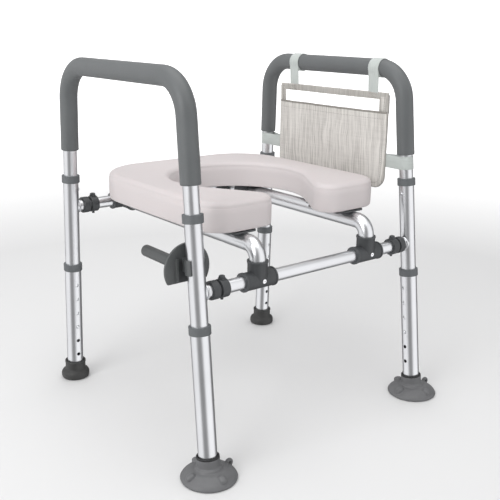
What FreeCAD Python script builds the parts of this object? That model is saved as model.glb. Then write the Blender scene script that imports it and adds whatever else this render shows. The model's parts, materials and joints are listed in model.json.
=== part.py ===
import FreeCAD, Part
import math
import os

# Height- and width-adjustable toilet safety frame with a padded seat.
# Millimetres. +Z is up and the floor is Z = 0. The front, where the user's feet go, is -Y.
# X = 0 is the plane between the two sides. Left is -X and right is +X, seen from the front.
# The origin is on the floor, at the middle of the rectangle that the four feet stand in.

Vector = FreeCAD.Vector
X_AXIS = Vector(1, 0, 0)
Y_AXIS = Vector(0, 1, 0)
Z_AXIS = Vector(0, 0, 1)
ORIGIN = Vector(0, 0, 0)

# Slack between parts that are fixed together, between parts that slide, and round a clip or a sewn part
FIXED_GAP = 0.05
SLIDE_GAP = 0.05
LOOSE_GAP = 0.1

# How far a cutter runs past the face it opens, and how far a joined piece reaches into its neighbour
CUT_PAST = 2.0
JOIN = 1.0

# Side frames: where the leg axes reach the floor, and how far they lean per unit of height
SIDE_X = 252.0
SIDE_LEAN = 0.011
FRONT_LEG = {"name": "front", "foot_y": -229.0, "lean": 0.110, "out": (-1, 0)}
REAR_LEG = {"name": "rear", "foot_y": 248.5, "lean": -0.039, "out": (0, -1)}
LEGS = (FRONT_LEG, REAR_LEG)

# Tubes, as outer radius and bore radius
HANDLE_TUBE = (12.7, 11.45)
MID_TUBE = (14.3, 12.7 + SLIDE_GAP)
LOWER_TUBE = (15.9, 14.3 + SLIDE_GAP)
SEAT_TUBE = (14.3, 12.8)
CROSSBAR = (11.1, 9.6)
WIDTH_TUBE = (9.525, 7.9)

# Handle
HANDLE_TOP_Z = 634.0
HANDLE_BEND_R = 63.0
HANDLE_END_Z = 362.0
FOAM_R = 16.5
FOAM_END_Z = 475.7

# Upper collars, at the top of the mid tubes
UPPER_COLLAR_Z = {"front": 425.0, "rear": 420.0}
UPPER_COLLAR_R = 16.9
COLLAR_HEIGHT = 14.0
COLLAR_LIP = 2.0
COLLAR_EDGE_R = 0.8

# Lower collars, at the top of the lower tubes
LOWER_COLLAR_Z = {"front": 249.0, "rear": 241.0}
LOWER_COLLAR_R = 18.0

# Height holes: a row down each lower tube, with the snap button in the fourth one
HOLE_PITCH = 30.0
HOLE_COUNT = 6
BUTTON_HOLE = 3
TOP_HOLE_Z = {"front": 219.0, "rear": 205.0}
HOLE_R = 3.5
BUTTON_R = 3.3
BUTTON_EDGE_R = 1.6
BUTTON_PROUD = 2.5
BUTTON_SPARE_TRAVEL = 0.15
MID_TUBE_BELOW_BUTTON = 12.0

# Snap springs: a hairpin of flat strip behind each button
STRIP_WIDTH = 7.0
STRIP_THICK = 0.8
HAIRPIN_UP = 24.0
HAIRPIN_DOWN = 8.0
HANDLE_BUTTON_DROP = 22.0

# Feet
TUBE_END_Z = 9.0
SOCKET_LOW_Z = 8.0
SOCKET_EDGE_R = 1.2
CUP_R = 47.5
CUP_RIM_WIDTH = 4.5
CUP_RIM_HEIGHT = 2.5
CUP_HOLLOW = 5.0
CUP_HOLLOW_HALFWAY = 4.0
CUP_SHOULDER = (38.5, 11.0)
CUP_CROWN = (21.0, 18.0)
CUP_COLLAR_R = 19.5
CUP_COLLAR_TOP = 37.5
LUG_IN_R = 30.0
LUG_OUT_R = 43.0
LUG_HALF_WIDTH = 5.0
LUG_LOW_Z = 8.0
LUG_TOP_Z = 14.5
LUG_CORNER_R = 4.0
TAB_CENTRE = (40.0, 12.5)
TAB_R = 7.0
TAB_HALF_THICK = 2.5
TAB_HOLE_R = 2.2
TIP_R = 28.0
TIP_SOLE_R = 24.5
TIP_SOLE_ROUND = (27.0, 1.2)
TIP_WALL_Z = (4.0, 10.5)
TIP_SHOULDER = (26.5, 15.0)
TIP_CROWN = (21.5, 17.5)
TIP_COLLAR_R = 20.2
TIP_COLLAR_TOP = 36.0

# Crossbars, tee fittings and width locks
FRONT_BAR_Z = 307.0
REAR_BAR_Z = 364.5
TEE_X = 128.4
TEE_HALF_LENGTH = 32.0
TEE_R = 15.5
TEE_BRANCH_R = 17.0
TEE_LIP_PROUD = 0.9
TEE_LIP = 3.0
SOCKET_REACH = 33.0
TEE_SCREW_OFFSET = 2.0
TEE_SCREW_HEAD = (4.0, 1.8)
TEE_SCREW_HEAD_EDGE_R = 1.0
TEE_SCREW_SHANK_R = 1.6
TEE_SCREW_HOLE_R = 1.7
TEE_SCREW_DRIVE = (1.3, 0.9)
TEE_SPOTFACE_R = 4.2
TEE_SPOTFACE_DEPTH = 0.25
LOCK_IN_X = 194.0
LOCK_OUT_X = 209.0
CAP_IN_X = 213.0
CAP_OUT_X = 226.0
RING_R = 15.5
RING_LIP = 2.0
RING_EDGE_R = 1.0
WELD_BEAD_R = 1.6
WELD_BEAD_PROUD = 0.4
LOCK_PIN_X = 201.5
LOCK_PIN_R = 2.5
LOCK_HOLE_R = 2.6
LOCK_HOLE_PITCH = 10.0
LOCK_HOLE_COUNT = 7
LOCK_BOSS_R = 6.5
LOCK_BOSS_TOP = 16.8
LOCK_PIN_BELOW = 19.0
KNOB_R = 5.2
KNOB_HEIGHT = 4.5
KNOB_EDGE_R = 2.0
WIDTH_TUBE_IN_X = 105.0
WIDTH_TUBE_OUT_X = 231.0

# Seat
SEAT_BEND_R = 24.0
CUSHION_BOTTOM_Z = 383.6
CUSHION_TOP_Z = 434.0
CUSHION_EDGE_R = 9.0
CUSHION_HALF_WIDTH = 200.0
CUSHION_FRONT_Y = -165.0
CUSHION_BACK_Y = 245.0
CUSHION_FRONT_CORNER_R = 52.0
CUSHION_BACK_CORNER_R = 105.0
SEAT_HOLE_R = 130.0
SEAT_HOLE_Y = 26.0
THROAT_X = 39.0
THROAT_CORNER_R = 40.0
BOARD_Z = 382.0
BOARD_THICK = 6.0
BOARD_INSET = 22.0
BOARD_TO_TEE = 5.0
RECESS_SIDE_GAP = 1.0
RECESS_TOP_GAP = 0.2

# Seat clips: the saddle's ends, the flange's ends and the screws' place along a seat tube, and how far
# the saddle's mouth is below the tube's axis. The front ones only rest on the tube and the rear ones grip it.
FRONT_CLIP = {"saddle": (-85.0, -55.0), "flange": (-163.0, -55.0), "screw_y": -132.0, "mouth_drop": -6.0}
REAR_CLIP = {"saddle": (140.0, 180.0), "flange": (140.0, 180.0), "screw_y": 160.0, "mouth_drop": 6.0}
CLIP_BORE_R = SEAT_TUBE[0] + LOOSE_GAP
CLIP_R = 17.4
CLIP_WIDTH = 48.0
CLIP_CORNER_R = 5.0
CLIP_SCREW_X = 19.5
CLIP_SCREW_R = 2.0
CLIP_SCREW_HOLE_R = 2.1
CLIP_SCREW_HEAD = (3.8, 2.2)
CLIP_SCREW_HEAD_EDGE_R = 1.2
CLIP_SCREW_DRIVE = (1.5, 1.3)
CLIP_SCREW_SHORT_OF_TOP = 2.0
BOARD_HOLE_SHORT_OF_TOP = 1.5
FLANGE_THICK = 3.1

# Caddy bag on the right handle. It hangs inward of the handle's centre plane, where its loops leave the tubes.
BAG_X = -13.4
BAG_FRONT_Y = -139.0
BAG_REAR_Y = 168.5
BAG_TOP_Z = 589.5
BAG_BOTTOM_Z = 406.0
BAG_CORNER_R = 25.0
BAG_SHEET = 2.5
WINDOW_FRONT_Y = -115.5
WINDOW_REAR_Y = 155.0
WINDOW_TOP_Z = 576.0
POCKET_TOP_Z = 552.0
POCKET_DEPTH = 14.0
POCKET_BELLY_DROP = 15.0
POCKET_MOUTH = 9.0
POCKET_FOOT = 3.0
POCKET_SHEET = 2.0
POCKET_SEAM = 1.6
STRAP_WIDTH = 26.5
STRAP_THICK = 1.5
STRAP_SLACK = 0.3
STRAP_CENTRES_Y = (-99.0, 127.5)
ELASTIC_Z = 461.0
ELASTIC_HEIGHT = 25.0
ELASTIC_THICK = 1.3
ELASTIC_TONGUE_HALF = 1.2
ELASTIC_TONGUE_INSET = 0.5

# Paper holder on the left front leg
HOLDER_Z = 341.5
HOLDER_R = 42.0
HOLDER_CHORD_DROP = 21.0
HOLDER_PLATE_Y = -168.0
HOLDER_PLATE_THICK = 4.0
HOLDER_CLIP_Z = 350.0
HOLDER_CLIP_HEIGHT = 24.0
HOLDER_CLIP_R = 17.6
HOLDER_CLIP_HALF_MOUTH = 62.0
HOLDER_NECK_HALF = 11.0
HOLDER_RIB_X = 21.0
HOLDER_RIB_HALF_WIDTH = 2.0
HOLDER_RIB_HALF_HEIGHT = 19.0
HOLDER_RIB_PROUD = 4.0
SPINDLE_R = 10.0
SPINDLE_LENGTH = 122.0
SPINDLE_END_R = 2.5


def export(shape, node):
    shape.exportStep("parts/" + node + ".step")


def cylinder(radius, start, end):
    """A solid cylinder from one point to another."""
    return Part.makeCylinder(radius, (end - start).Length, start, end - start)


def tube(radii, start, end):
    """A straight tube, with radii as (outer, bore)."""
    return cylinder(radii[0], start, end).cut(cylinder(radii[1], start, end))


def box(low, high):
    size = high - low
    return Part.makeBox(size.x, size.y, size.z, low)


def edges_along(body, axis):
    """The body's straight edges that run along an axis."""
    straight = [edge for edge in body.Edges if not edge.Closed]
    return [edge for edge in straight if edge.tangentAt(edge.FirstParameter).getAngle(axis) % math.pi < 0.01]


def closed_edges(body):
    return [edge for edge in body.Edges if edge.Closed]


def farthest(edges, direction):
    """The edge whose middle lies farthest along a direction."""
    return max(edges, key=lambda edge: edge.CenterOfMass.dot(direction))


def bent_wire(points, radius):
    """A wire through the points, with every inner corner rounded to the radius."""
    edges = []
    last = points[0]
    for before, corner, after in zip(points, points[1:], points[2:]):
        back = (before - corner).normalize()
        ahead = (after - corner).normalize()
        half = back.getAngle(ahead) / 2
        middle = (back + ahead).normalize()
        start = corner + back * (radius / math.tan(half))
        end = corner + ahead * (radius / math.tan(half))
        top = corner + middle * (radius / math.sin(half) - radius)
        edges.append(Part.LineSegment(last, start).toShape())
        edges.append(Part.Arc(start, top, end).toShape())
        last = end
    edges.append(Part.LineSegment(last, points[-1]).toShape())
    return Part.Wire(edges)


def swept_rod(points, bend_radius, radius):
    """A round rod that follows the rounded path through the points."""
    path = bent_wire(points, bend_radius)
    ring = Part.Circle(points[0], points[1] - points[0], radius)
    profile = Part.Wire(ring.toShape())
    return path.makePipeShell([profile], True, False)


def lean_factor(leg):
    return math.sqrt(1 + leg["lean"] ** 2)


def axial(leg, z):
    """Distance along a leg's axis, from the floor, of the point at height z."""
    return z * lean_factor(leg)


def leg_y(leg, z):
    return leg["foot_y"] + leg["lean"] * z


def side_x(z):
    return SIDE_X - SIDE_LEAN * z


def side_to_row(shape, side):
    """Moves a part from the side frame's own upright plane at X = 0 to its place in the row."""
    placed = shape.copy()
    placed.rotate(ORIGIN, Y_AXIS, -math.degrees(math.atan(SIDE_LEAN)))
    placed.translate(Vector(SIDE_X, 0, 0))
    if side == "left":
        placed = placed.mirror(ORIGIN, X_AXIS)
    return placed


def leg_to_side(shape, leg):
    """Moves a part from a leg's own axis, with Z along the leg, to the side frame's plane."""
    placed = shape.copy()
    placed.rotate(ORIGIN, X_AXIS, -math.degrees(math.atan(leg["lean"])))
    placed.translate(Vector(0, leg["foot_y"], 0))
    return placed


def leg_to_row(shape, leg, side):
    return side_to_row(leg_to_side(shape, leg), side)


def leg_tube(radii, leg, low_z, high_z):
    return tube(radii, Z_AXIS * axial(leg, low_z), Z_AXIS * axial(leg, high_z))


def radial(direction, radius, height):
    return Vector(direction[0] * radius, direction[1] * radius, height)


def radial_hole(direction, height, hole_radius, reach):
    """A cutter from a leg's axis out through one wall."""
    return cylinder(hole_radius, radial(direction, 0, height), radial(direction, reach, height))


def button_z(leg):
    return TOP_HOLE_Z[leg["name"]] - BUTTON_HOLE * HOLE_PITCH


def handle_button_z(leg):
    return UPPER_COLLAR_Z[leg["name"]] - HANDLE_BUTTON_DROP


def handle_points(end_z):
    """Corners of the handle's centre line in the side frame's plane."""
    front_end = Vector(0, leg_y(FRONT_LEG, end_z), end_z)
    front_top = Vector(0, leg_y(FRONT_LEG, HANDLE_TOP_Z), HANDLE_TOP_Z)
    rear_top = Vector(0, leg_y(REAR_LEG, HANDLE_TOP_Z), HANDLE_TOP_Z)
    rear_end = Vector(0, leg_y(REAR_LEG, end_z), end_z)
    return [front_end, front_top, rear_top, rear_end]


def handle_tube():
    points = handle_points(HANDLE_END_Z)
    body = swept_rod(points, HANDLE_BEND_R, HANDLE_TUBE[0])
    body = body.cut(swept_rod(points, HANDLE_BEND_R, HANDLE_TUBE[1]))
    for leg in LEGS:
        cutter = radial_hole((-1, 0), axial(leg, handle_button_z(leg)), HOLE_R, HANDLE_TUBE[0] + CUT_PAST)
        body = body.cut(leg_to_side(cutter, leg))
    return body


def foam_grip():
    points = handle_points(FOAM_END_Z)
    sleeve = swept_rod(points, HANDLE_BEND_R, FOAM_R)
    return sleeve.cut(swept_rod(points, HANDLE_BEND_R, HANDLE_TUBE[0] + FIXED_GAP))


def mid_tube(leg, bar_z):
    """The leg's upper section, with the stub for the crossbar welded to its inner side."""
    top = UPPER_COLLAR_Z[leg["name"]] + COLLAR_HEIGHT / 2 - COLLAR_LIP - FIXED_GAP
    bottom = button_z(leg) - MID_TUBE_BELOW_BUTTON
    body = cylinder(MID_TUBE[0], Z_AXIS * axial(leg, bottom), Z_AXIS * axial(leg, top))
    axis_y = leg_y(leg, bar_z)
    stub_root = Vector(side_x(bar_z), axis_y, bar_z)
    stub_end = Vector(CAP_IN_X + RING_LIP + FIXED_GAP, axis_y, bar_z)
    weld = stub_root - X_AXIS * MID_TUBE[0]
    stub = cylinder(CROSSBAR[0], stub_root, stub_end)
    bead = Part.makeTorus(CROSSBAR[0] + WELD_BEAD_PROUD, WELD_BEAD_R, weld, X_AXIS)
    body = leg_to_row(body, leg, "right").fuse([stub, bead])
    bore = Part.makeCylinder(MID_TUBE[1], axial(leg, top) + CUT_PAST)
    bores = [leg_to_row(bore, leg, "right")]
    bores.append(cylinder(WIDTH_TUBE[0] + FIXED_GAP, weld - X_AXIS * JOIN, stub_end))
    for direction, z in ((leg["out"], button_z(leg)), ((-1, 0), handle_button_z(leg))):
        cutter = radial_hole(direction, axial(leg, z), HOLE_R, MID_TUBE[0] + CUT_PAST)
        bores.append(leg_to_row(cutter, leg, "right"))
    for cutter in bores:
        body = body.cut(cutter)
    return body


def upper_collar(leg):
    top = axial(leg, UPPER_COLLAR_Z[leg["name"]] + COLLAR_HEIGHT / 2)
    return collar(top, UPPER_COLLAR_R, MID_TUBE[0], HANDLE_TUBE[0] + SLIDE_GAP)


def lower_collar(leg):
    top = axial(leg, LOWER_COLLAR_Z[leg["name"]] + COLLAR_HEIGHT / 2)
    return collar(top, LOWER_COLLAR_R, LOWER_TUBE[0], MID_TUBE[0] + SLIDE_GAP)


def collar(top, radius, tube_radius, lip_radius):
    """A cap sleeve on a tube's end, with a lip that guides the thinner tube."""
    low = Z_AXIS * (top - COLLAR_HEIGHT)
    high = Z_AXIS * top
    body = cylinder(radius, low, high)
    body = body.makeFillet(COLLAR_EDGE_R, closed_edges(body))
    body = body.cut(cylinder(tube_radius + FIXED_GAP, low, high - Z_AXIS * COLLAR_LIP))
    return body.cut(cylinder(lip_radius, low, high))


def snap_button(direction, height, bore_radius, tip_radius, travel):
    """A round button riveted to a hairpin of spring strip, in a leg's own axis."""
    half = STRIP_WIDTH / 2
    front = math.sqrt(bore_radius ** 2 - half ** 2) - LOOSE_GAP
    back = -(front - travel)
    middle = (front + back) / 2
    bend = (front - back) / 2
    low = height - HAIRPIN_DOWN
    high = height + HAIRPIN_UP
    outer = box(Vector(back, -half, low), Vector(front, half, high))
    crown = cylinder(bend, Vector(middle, -half, high), Vector(middle, half, high))
    inner = box(Vector(back + STRIP_THICK, -half, low), Vector(front - STRIP_THICK, half, high))
    hollow = cylinder(bend - STRIP_THICK, Vector(middle, -half, high), Vector(middle, half, high))
    strip = outer.fuse(crown).cut(inner.fuse(hollow))
    stud = cylinder(BUTTON_R, Vector(front - STRIP_THICK, 0, height), Vector(tip_radius, 0, height))
    stud = stud.makeFillet(BUTTON_EDGE_R, [farthest(closed_edges(stud), X_AXIS)])
    body = strip.fuse(stud).removeSplitter()
    body.rotate(ORIGIN, Z_AXIS, math.degrees(math.atan2(direction[1], direction[0])))
    return body


def leg_button(leg):
    travel = LOWER_TUBE[0] + BUTTON_PROUD - LOWER_TUBE[1] + BUTTON_SPARE_TRAVEL
    height = axial(leg, button_z(leg))
    return snap_button(leg["out"], height, MID_TUBE[1], LOWER_TUBE[0] + BUTTON_PROUD, travel)


def handle_button(leg):
    travel = MID_TUBE[0] + BUTTON_PROUD - MID_TUBE[1] + BUTTON_SPARE_TRAVEL
    height = axial(leg, handle_button_z(leg))
    return snap_button((-1, 0), height, HANDLE_TUBE[1], MID_TUBE[0] + BUTTON_PROUD, travel)


def lower_tube(leg):
    top = LOWER_COLLAR_Z[leg["name"]] + COLLAR_HEIGHT / 2 - COLLAR_LIP - FIXED_GAP
    body = leg_tube(LOWER_TUBE, leg, TUBE_END_Z, top)
    for number in range(HOLE_COUNT):
        z = TOP_HOLE_Z[leg["name"]] - number * HOLE_PITCH
        body = body.cut(radial_hole(leg["out"], axial(leg, z), HOLE_R, LOWER_TUBE[0] + CUT_PAST))
    return body


def revolved(points):
    """A solid of revolution about Z from (radius, height) points, where a triple is an arc's middle."""
    edges = []
    last = Vector(points[0][0], 0, points[0][1])
    pending = None
    for point in points[1:]:
        here = Vector(point[0], 0, point[1])
        if len(point) == 3:
            pending = here
            continue
        curve = Part.Arc(last, pending, here) if pending else Part.LineSegment(last, here)
        edges.append(curve.toShape())
        pending = None
        last = here
    face = Part.Face(Part.Wire(edges))
    return face.revolve(ORIGIN, Z_AXIS, 360)


def foot_socket(leg, side, radius, top_z):
    """The collar of a foot, and the cutter for the tube inside it, both along the leg."""
    sleeve = cylinder(radius, Z_AXIS * axial(leg, SOCKET_LOW_Z), Z_AXIS * axial(leg, top_z))
    sleeve = sleeve.makeFillet(SOCKET_EDGE_R, [farthest(closed_edges(sleeve), Z_AXIS)])
    bore_low = Z_AXIS * axial(leg, TUBE_END_Z - FIXED_GAP)
    bore = cylinder(LOWER_TUBE[0] + FIXED_GAP, bore_low, Z_AXIS * (axial(leg, top_z) + CUT_PAST))
    return leg_to_row(sleeve, leg, side), leg_to_row(bore, leg, side)


def cup_body():
    """The cup itself, hollow underneath, about Z."""
    inner_r = CUP_R - CUP_RIM_WIDTH
    return revolved([
        (0, CUP_HOLLOW), (inner_r / 2, CUP_HOLLOW_HALFWAY, "arc"), (inner_r, 0),
        (CUP_R, 0), (CUP_R, CUP_RIM_HEIGHT), CUP_SHOULDER + ("arc",), CUP_CROWN,
        (0, CUP_CROWN[1]), (0, CUP_HOLLOW),
    ])


def cup_lugs():
    """Three finger lugs round the cup."""
    lugs = []
    for degrees in (90, 180, 270):
        lug = box(Vector(LUG_IN_R, -LUG_HALF_WIDTH, LUG_LOW_Z), Vector(LUG_OUT_R, LUG_HALF_WIDTH, LUG_TOP_Z))
        outer = [edge for edge in edges_along(lug, Z_AXIS) if edge.CenterOfMass.x > LUG_IN_R + JOIN]
        lug = lug.makeFillet(LUG_CORNER_R, outer)
        lug.rotate(ORIGIN, Z_AXIS, degrees)
        lugs.append(lug)
    return lugs


def suction_foot(side):
    """A suction cup with three finger lugs and a round pull tab with a hole."""
    floor = Vector(SIDE_X if side == "right" else -SIDE_X, FRONT_LEG["foot_y"], 0)
    tab_x, tab_z = TAB_CENTRE
    tab = cylinder(TAB_R, Vector(tab_x, -TAB_HALF_THICK, tab_z), Vector(tab_x, TAB_HALF_THICK, tab_z))
    root = box(Vector(LUG_IN_R, -TAB_HALF_THICK, LUG_LOW_Z), Vector(tab_x, TAB_HALF_THICK, tab_z + TAB_R / 2))
    cup = cup_body().fuse(cup_lugs() + [tab, root])
    hole_half = TAB_HALF_THICK + CUT_PAST
    cup = cup.cut(cylinder(TAB_HOLE_R, Vector(tab_x, -hole_half, tab_z), Vector(tab_x, hole_half, tab_z)))
    cup.translate(floor)
    sleeve, bore = foot_socket(FRONT_LEG, side, CUP_COLLAR_R, CUP_COLLAR_TOP)
    return cup.fuse(sleeve).cut(bore).removeSplitter()


def rubber_tip(side):
    """A flared rubber tip for a rear leg."""
    floor = Vector(SIDE_X if side == "right" else -SIDE_X, REAR_LEG["foot_y"], 0)
    base = revolved([
        (0, 0), (TIP_SOLE_R, 0), TIP_SOLE_ROUND + ("arc",), (TIP_R, TIP_WALL_Z[0]), (TIP_R, TIP_WALL_Z[1]),
        TIP_SHOULDER + ("arc",), TIP_CROWN, (0, TIP_CROWN[1]), (0, 0),
    ])
    base.translate(floor)
    sleeve, bore = foot_socket(REAR_LEG, side, TIP_COLLAR_R, TIP_COLLAR_TOP)
    return base.fuse(sleeve).cut(bore).removeSplitter()


def bar_places():
    """Each crossbar's axis as (name, y, z)."""
    return (
        ("front", leg_y(FRONT_LEG, FRONT_BAR_Z), FRONT_BAR_Z),
        ("rear", leg_y(REAR_LEG, REAR_BAR_Z), REAR_BAR_Z),
    )


def through_bar(radius, x, y, z, reach):
    """An upright cutter or pin body through a crossbar's axis."""
    return cylinder(radius, Vector(x, y, z - reach), Vector(x, y, z + reach))


def crossbar(y, z):
    """A crossbar with the lock pins' holes and the tee screws' holes."""
    end = LOCK_OUT_X - RING_LIP - FIXED_GAP
    body = tube(CROSSBAR, Vector(-end, y, z), Vector(end, y, z))
    for x in (-LOCK_PIN_X, LOCK_PIN_X):
        body = body.cut(through_bar(LOCK_HOLE_R, x, y, z, CROSSBAR[0] + CUT_PAST))
    for sign in (-1, 1):
        centre = Vector(sign * TEE_X + TEE_SCREW_OFFSET, y, z)
        hole = cylinder(TEE_SCREW_HOLE_R, centre, centre + screw_side(z) * (CROSSBAR[0] + CUT_PAST))
        body = body.cut(hole)
    return body


def end_ring(inner_x, outer_x, lip_at_outer, y, z):
    """A plastic ring on a tube's end, with a lip that guides the width tube. Built on the right."""
    body = cylinder(RING_R, Vector(inner_x, y, z), Vector(outer_x, y, z))
    body = body.makeFillet(RING_EDGE_R, closed_edges(body))
    wide_from = inner_x if lip_at_outer else inner_x + RING_LIP
    wide_to = outer_x - RING_LIP if lip_at_outer else outer_x
    body = body.cut(cylinder(CROSSBAR[0] + FIXED_GAP, Vector(wide_from, y, z), Vector(wide_to, y, z)))
    return body.cut(cylinder(CROSSBAR[1], Vector(inner_x, y, z), Vector(outer_x, y, z)))


def lock_collar(y, z):
    """The ring on a crossbar's end, with the boss that guides the lock pin."""
    body = end_ring(LOCK_IN_X, LOCK_OUT_X, True, y, z)
    boss_root = z + CROSSBAR[0] + JOIN
    boss = cylinder(LOCK_BOSS_R, Vector(LOCK_PIN_X, y, boss_root), Vector(LOCK_PIN_X, y, z + LOCK_BOSS_TOP))
    body = body.fuse(boss).removeSplitter()
    return body.cut(through_bar(LOCK_HOLE_R, LOCK_PIN_X, y, z, LOCK_BOSS_TOP + CUT_PAST))


def lock_pin(y, z):
    """A plain pin through the crossbar and the width tube, with a round knob on top."""
    knob_low = Vector(LOCK_PIN_X, y, z + LOCK_BOSS_TOP + FIXED_GAP)
    pin = cylinder(LOCK_PIN_R, Vector(LOCK_PIN_X, y, z - LOCK_PIN_BELOW), knob_low + Z_AXIS * JOIN)
    knob = cylinder(KNOB_R, knob_low, knob_low + Z_AXIS * KNOB_HEIGHT)
    knob = knob.makeFillet(KNOB_EDGE_R, [farthest(closed_edges(knob), Z_AXIS)])
    return pin.fuse(knob).removeSplitter()


def width_tube(y, z):
    """The inner tube in a stub, with the row of width holes."""
    body = tube(WIDTH_TUBE, Vector(WIDTH_TUBE_IN_X, y, z), Vector(WIDTH_TUBE_OUT_X, y, z))
    for number in range(LOCK_HOLE_COUNT):
        x = LOCK_PIN_X - number * LOCK_HOLE_PITCH
        body = body.cut(through_bar(LOCK_HOLE_R, x, y, z, WIDTH_TUBE[0] + CUT_PAST))
    return body


def screw_side(z):
    """The side of a crossbar that its tee screws face: away from the seat."""
    return -Y_AXIS if z == FRONT_BAR_Z else Y_AXIS


def tee(centre, reach):
    """A tee on a crossbar. reach is its socket's direction."""
    ends = (centre - X_AXIS * TEE_HALF_LENGTH, centre + X_AXIS * TEE_HALF_LENGTH)
    mouth = centre + reach * SOCKET_REACH
    body = cylinder(TEE_R, ends[0], ends[1])
    body = body.fuse([
        cylinder(TEE_BRANCH_R, centre, mouth),
        cylinder(TEE_R + TEE_LIP_PROUD, ends[0], ends[0] + X_AXIS * TEE_LIP),
        cylinder(TEE_R + TEE_LIP_PROUD, ends[1] - X_AXIS * TEE_LIP, ends[1]),
        cylinder(TEE_BRANCH_R + TEE_LIP_PROUD, mouth - reach * TEE_LIP, mouth),
    ])
    body = body.cut(cylinder(CROSSBAR[0] + FIXED_GAP, ends[0], ends[1]))
    body = body.cut(cylinder(SEAT_TUBE[0] + FIXED_GAP, centre + reach * (CROSSBAR[0] + JOIN), mouth))
    screw_at = centre + X_AXIS * TEE_SCREW_OFFSET
    outward = screw_side(centre.z)
    hole = cylinder(TEE_SCREW_HOLE_R, screw_at, screw_at + outward * (TEE_R + CUT_PAST))
    seat = screw_at + outward * (TEE_R - TEE_SPOTFACE_DEPTH)
    return body.cut(hole.fuse(cylinder(TEE_SPOTFACE_R, seat, seat + outward * CUT_PAST)))


def tee_screw(tee_centre):
    """A round-headed screw through a tee's wall and the crossbar's wall."""
    centre = tee_centre + X_AXIS * TEE_SCREW_OFFSET
    outward = screw_side(centre.z)
    head_r, head_height = TEE_SCREW_HEAD
    head_low = centre + outward * (TEE_R - TEE_SPOTFACE_DEPTH + FIXED_GAP)
    head_top = head_low + outward * head_height
    head = cylinder(head_r, head_low, head_top)
    head = head.makeFillet(TEE_SCREW_HEAD_EDGE_R, [farthest(closed_edges(head), outward)])
    shank_end = centre + outward * (CROSSBAR[1] + FIXED_GAP)
    shank = cylinder(TEE_SCREW_SHANK_R, shank_end, head_low + outward * JOIN)
    drive_r, drive_depth = TEE_SCREW_DRIVE
    drive = cylinder(drive_r, head_top - outward * drive_depth, head_top + outward * CUT_PAST)
    return head.fuse(shank).cut(drive)


def tees_and_screws():
    """The four tees by name, and the four screws."""
    tees = {}
    screws = []
    for name, y, z in bar_places():
        reach = Z_AXIS if name == "front" else -Y_AXIS
        for side, sign in (("left", -1), ("right", 1)):
            centre = Vector(sign * TEE_X, y, z)
            tees["tee_" + name + "_" + side] = tee(centre, reach)
            screws.append(tee_screw(centre))
    return tees, screws


def seat_tube():
    """From the front tee up, round the bend, and back to the rear tee. Built on the right."""
    front_y = leg_y(FRONT_LEG, FRONT_BAR_Z)
    rear_y = leg_y(REAR_LEG, REAR_BAR_Z)
    end_gap = CROSSBAR[0] + JOIN + FIXED_GAP
    points = [
        Vector(TEE_X, front_y, FRONT_BAR_Z + end_gap),
        Vector(TEE_X, front_y, REAR_BAR_Z),
        Vector(TEE_X, rear_y - end_gap, REAR_BAR_Z),
    ]
    return swept_rod(points, SEAT_BEND_R, SEAT_TUBE[0]).cut(swept_rod(points, SEAT_BEND_R, SEAT_TUBE[1]))


def horseshoe(inset, back_y, low_z, high_z):
    """A horseshoe plate open at the front, with its sides set in from the cushion's by the inset."""
    half_width = CUSHION_HALF_WIDTH - inset
    front_y = CUSHION_FRONT_Y + inset
    back_r = CUSHION_BACK_CORNER_R - inset
    front_r = CUSHION_FRONT_CORNER_R - inset
    hole_r = SEAT_HOLE_R + inset
    throat_r = THROAT_CORNER_R - inset
    apex = Vector(THROAT_X + inset, front_y, low_z)
    hole = Vector(0, SEAT_HOLE_Y, low_z)
    reach = apex - hole
    turn = math.atan2(reach.y, reach.x) + math.acos(hole_r / reach.Length)
    touch = hole + Vector(math.cos(turn), math.sin(turn), 0) * hole_r
    inward = (touch - apex).normalize()
    half = inward.getAngle(X_AXIS) / 2
    front_touch = apex + X_AXIS * (throat_r / math.tan(half))
    side_touch = apex + inward * (throat_r / math.tan(half))
    bisector = (inward + X_AXIS).normalize()
    nose = apex + bisector * (throat_r / math.sin(half) - throat_r)
    corner = Vector(half_width - front_r, front_y + front_r, low_z)
    shoulder = Vector(half_width - back_r, back_y - back_r, low_z)
    diagonal = math.sqrt(0.5)

    def flipped(point):
        return Vector(-point.x, point.y, point.z)

    right = [
        ("line", Vector(0, back_y, low_z), shoulder + Y_AXIS * back_r),
        ("arc", shoulder + Y_AXIS * back_r, shoulder + Vector(diagonal, diagonal, 0) * back_r,
         shoulder + X_AXIS * back_r),
        ("line", shoulder + X_AXIS * back_r, corner + X_AXIS * front_r),
        ("arc", corner + X_AXIS * front_r, corner + Vector(diagonal, -diagonal, 0) * front_r,
         corner - Y_AXIS * front_r),
        ("line", corner - Y_AXIS * front_r, front_touch),
        ("arc", front_touch, nose, side_touch),
        ("line", side_touch, touch),
    ]
    edges = []
    for piece in right:
        for points in (piece[1:], [flipped(point) for point in piece[1:]]):
            curve = Part.Arc(*points) if piece[0] == "arc" else Part.LineSegment(*points)
            edges.append(curve.toShape())
    edges.append(Part.Arc(touch, hole + Y_AXIS * hole_r, flipped(touch)).toShape())
    outline = Part.Wire(Part.__sortEdges__(edges))
    return Part.Face(outline).extrude(Z_AXIS * (high_z - low_z))


def board_back_y():
    """The board stops short of the rear tees."""
    return leg_y(REAR_LEG, REAR_BAR_Z) - SOCKET_REACH - BOARD_TO_TEE


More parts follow.
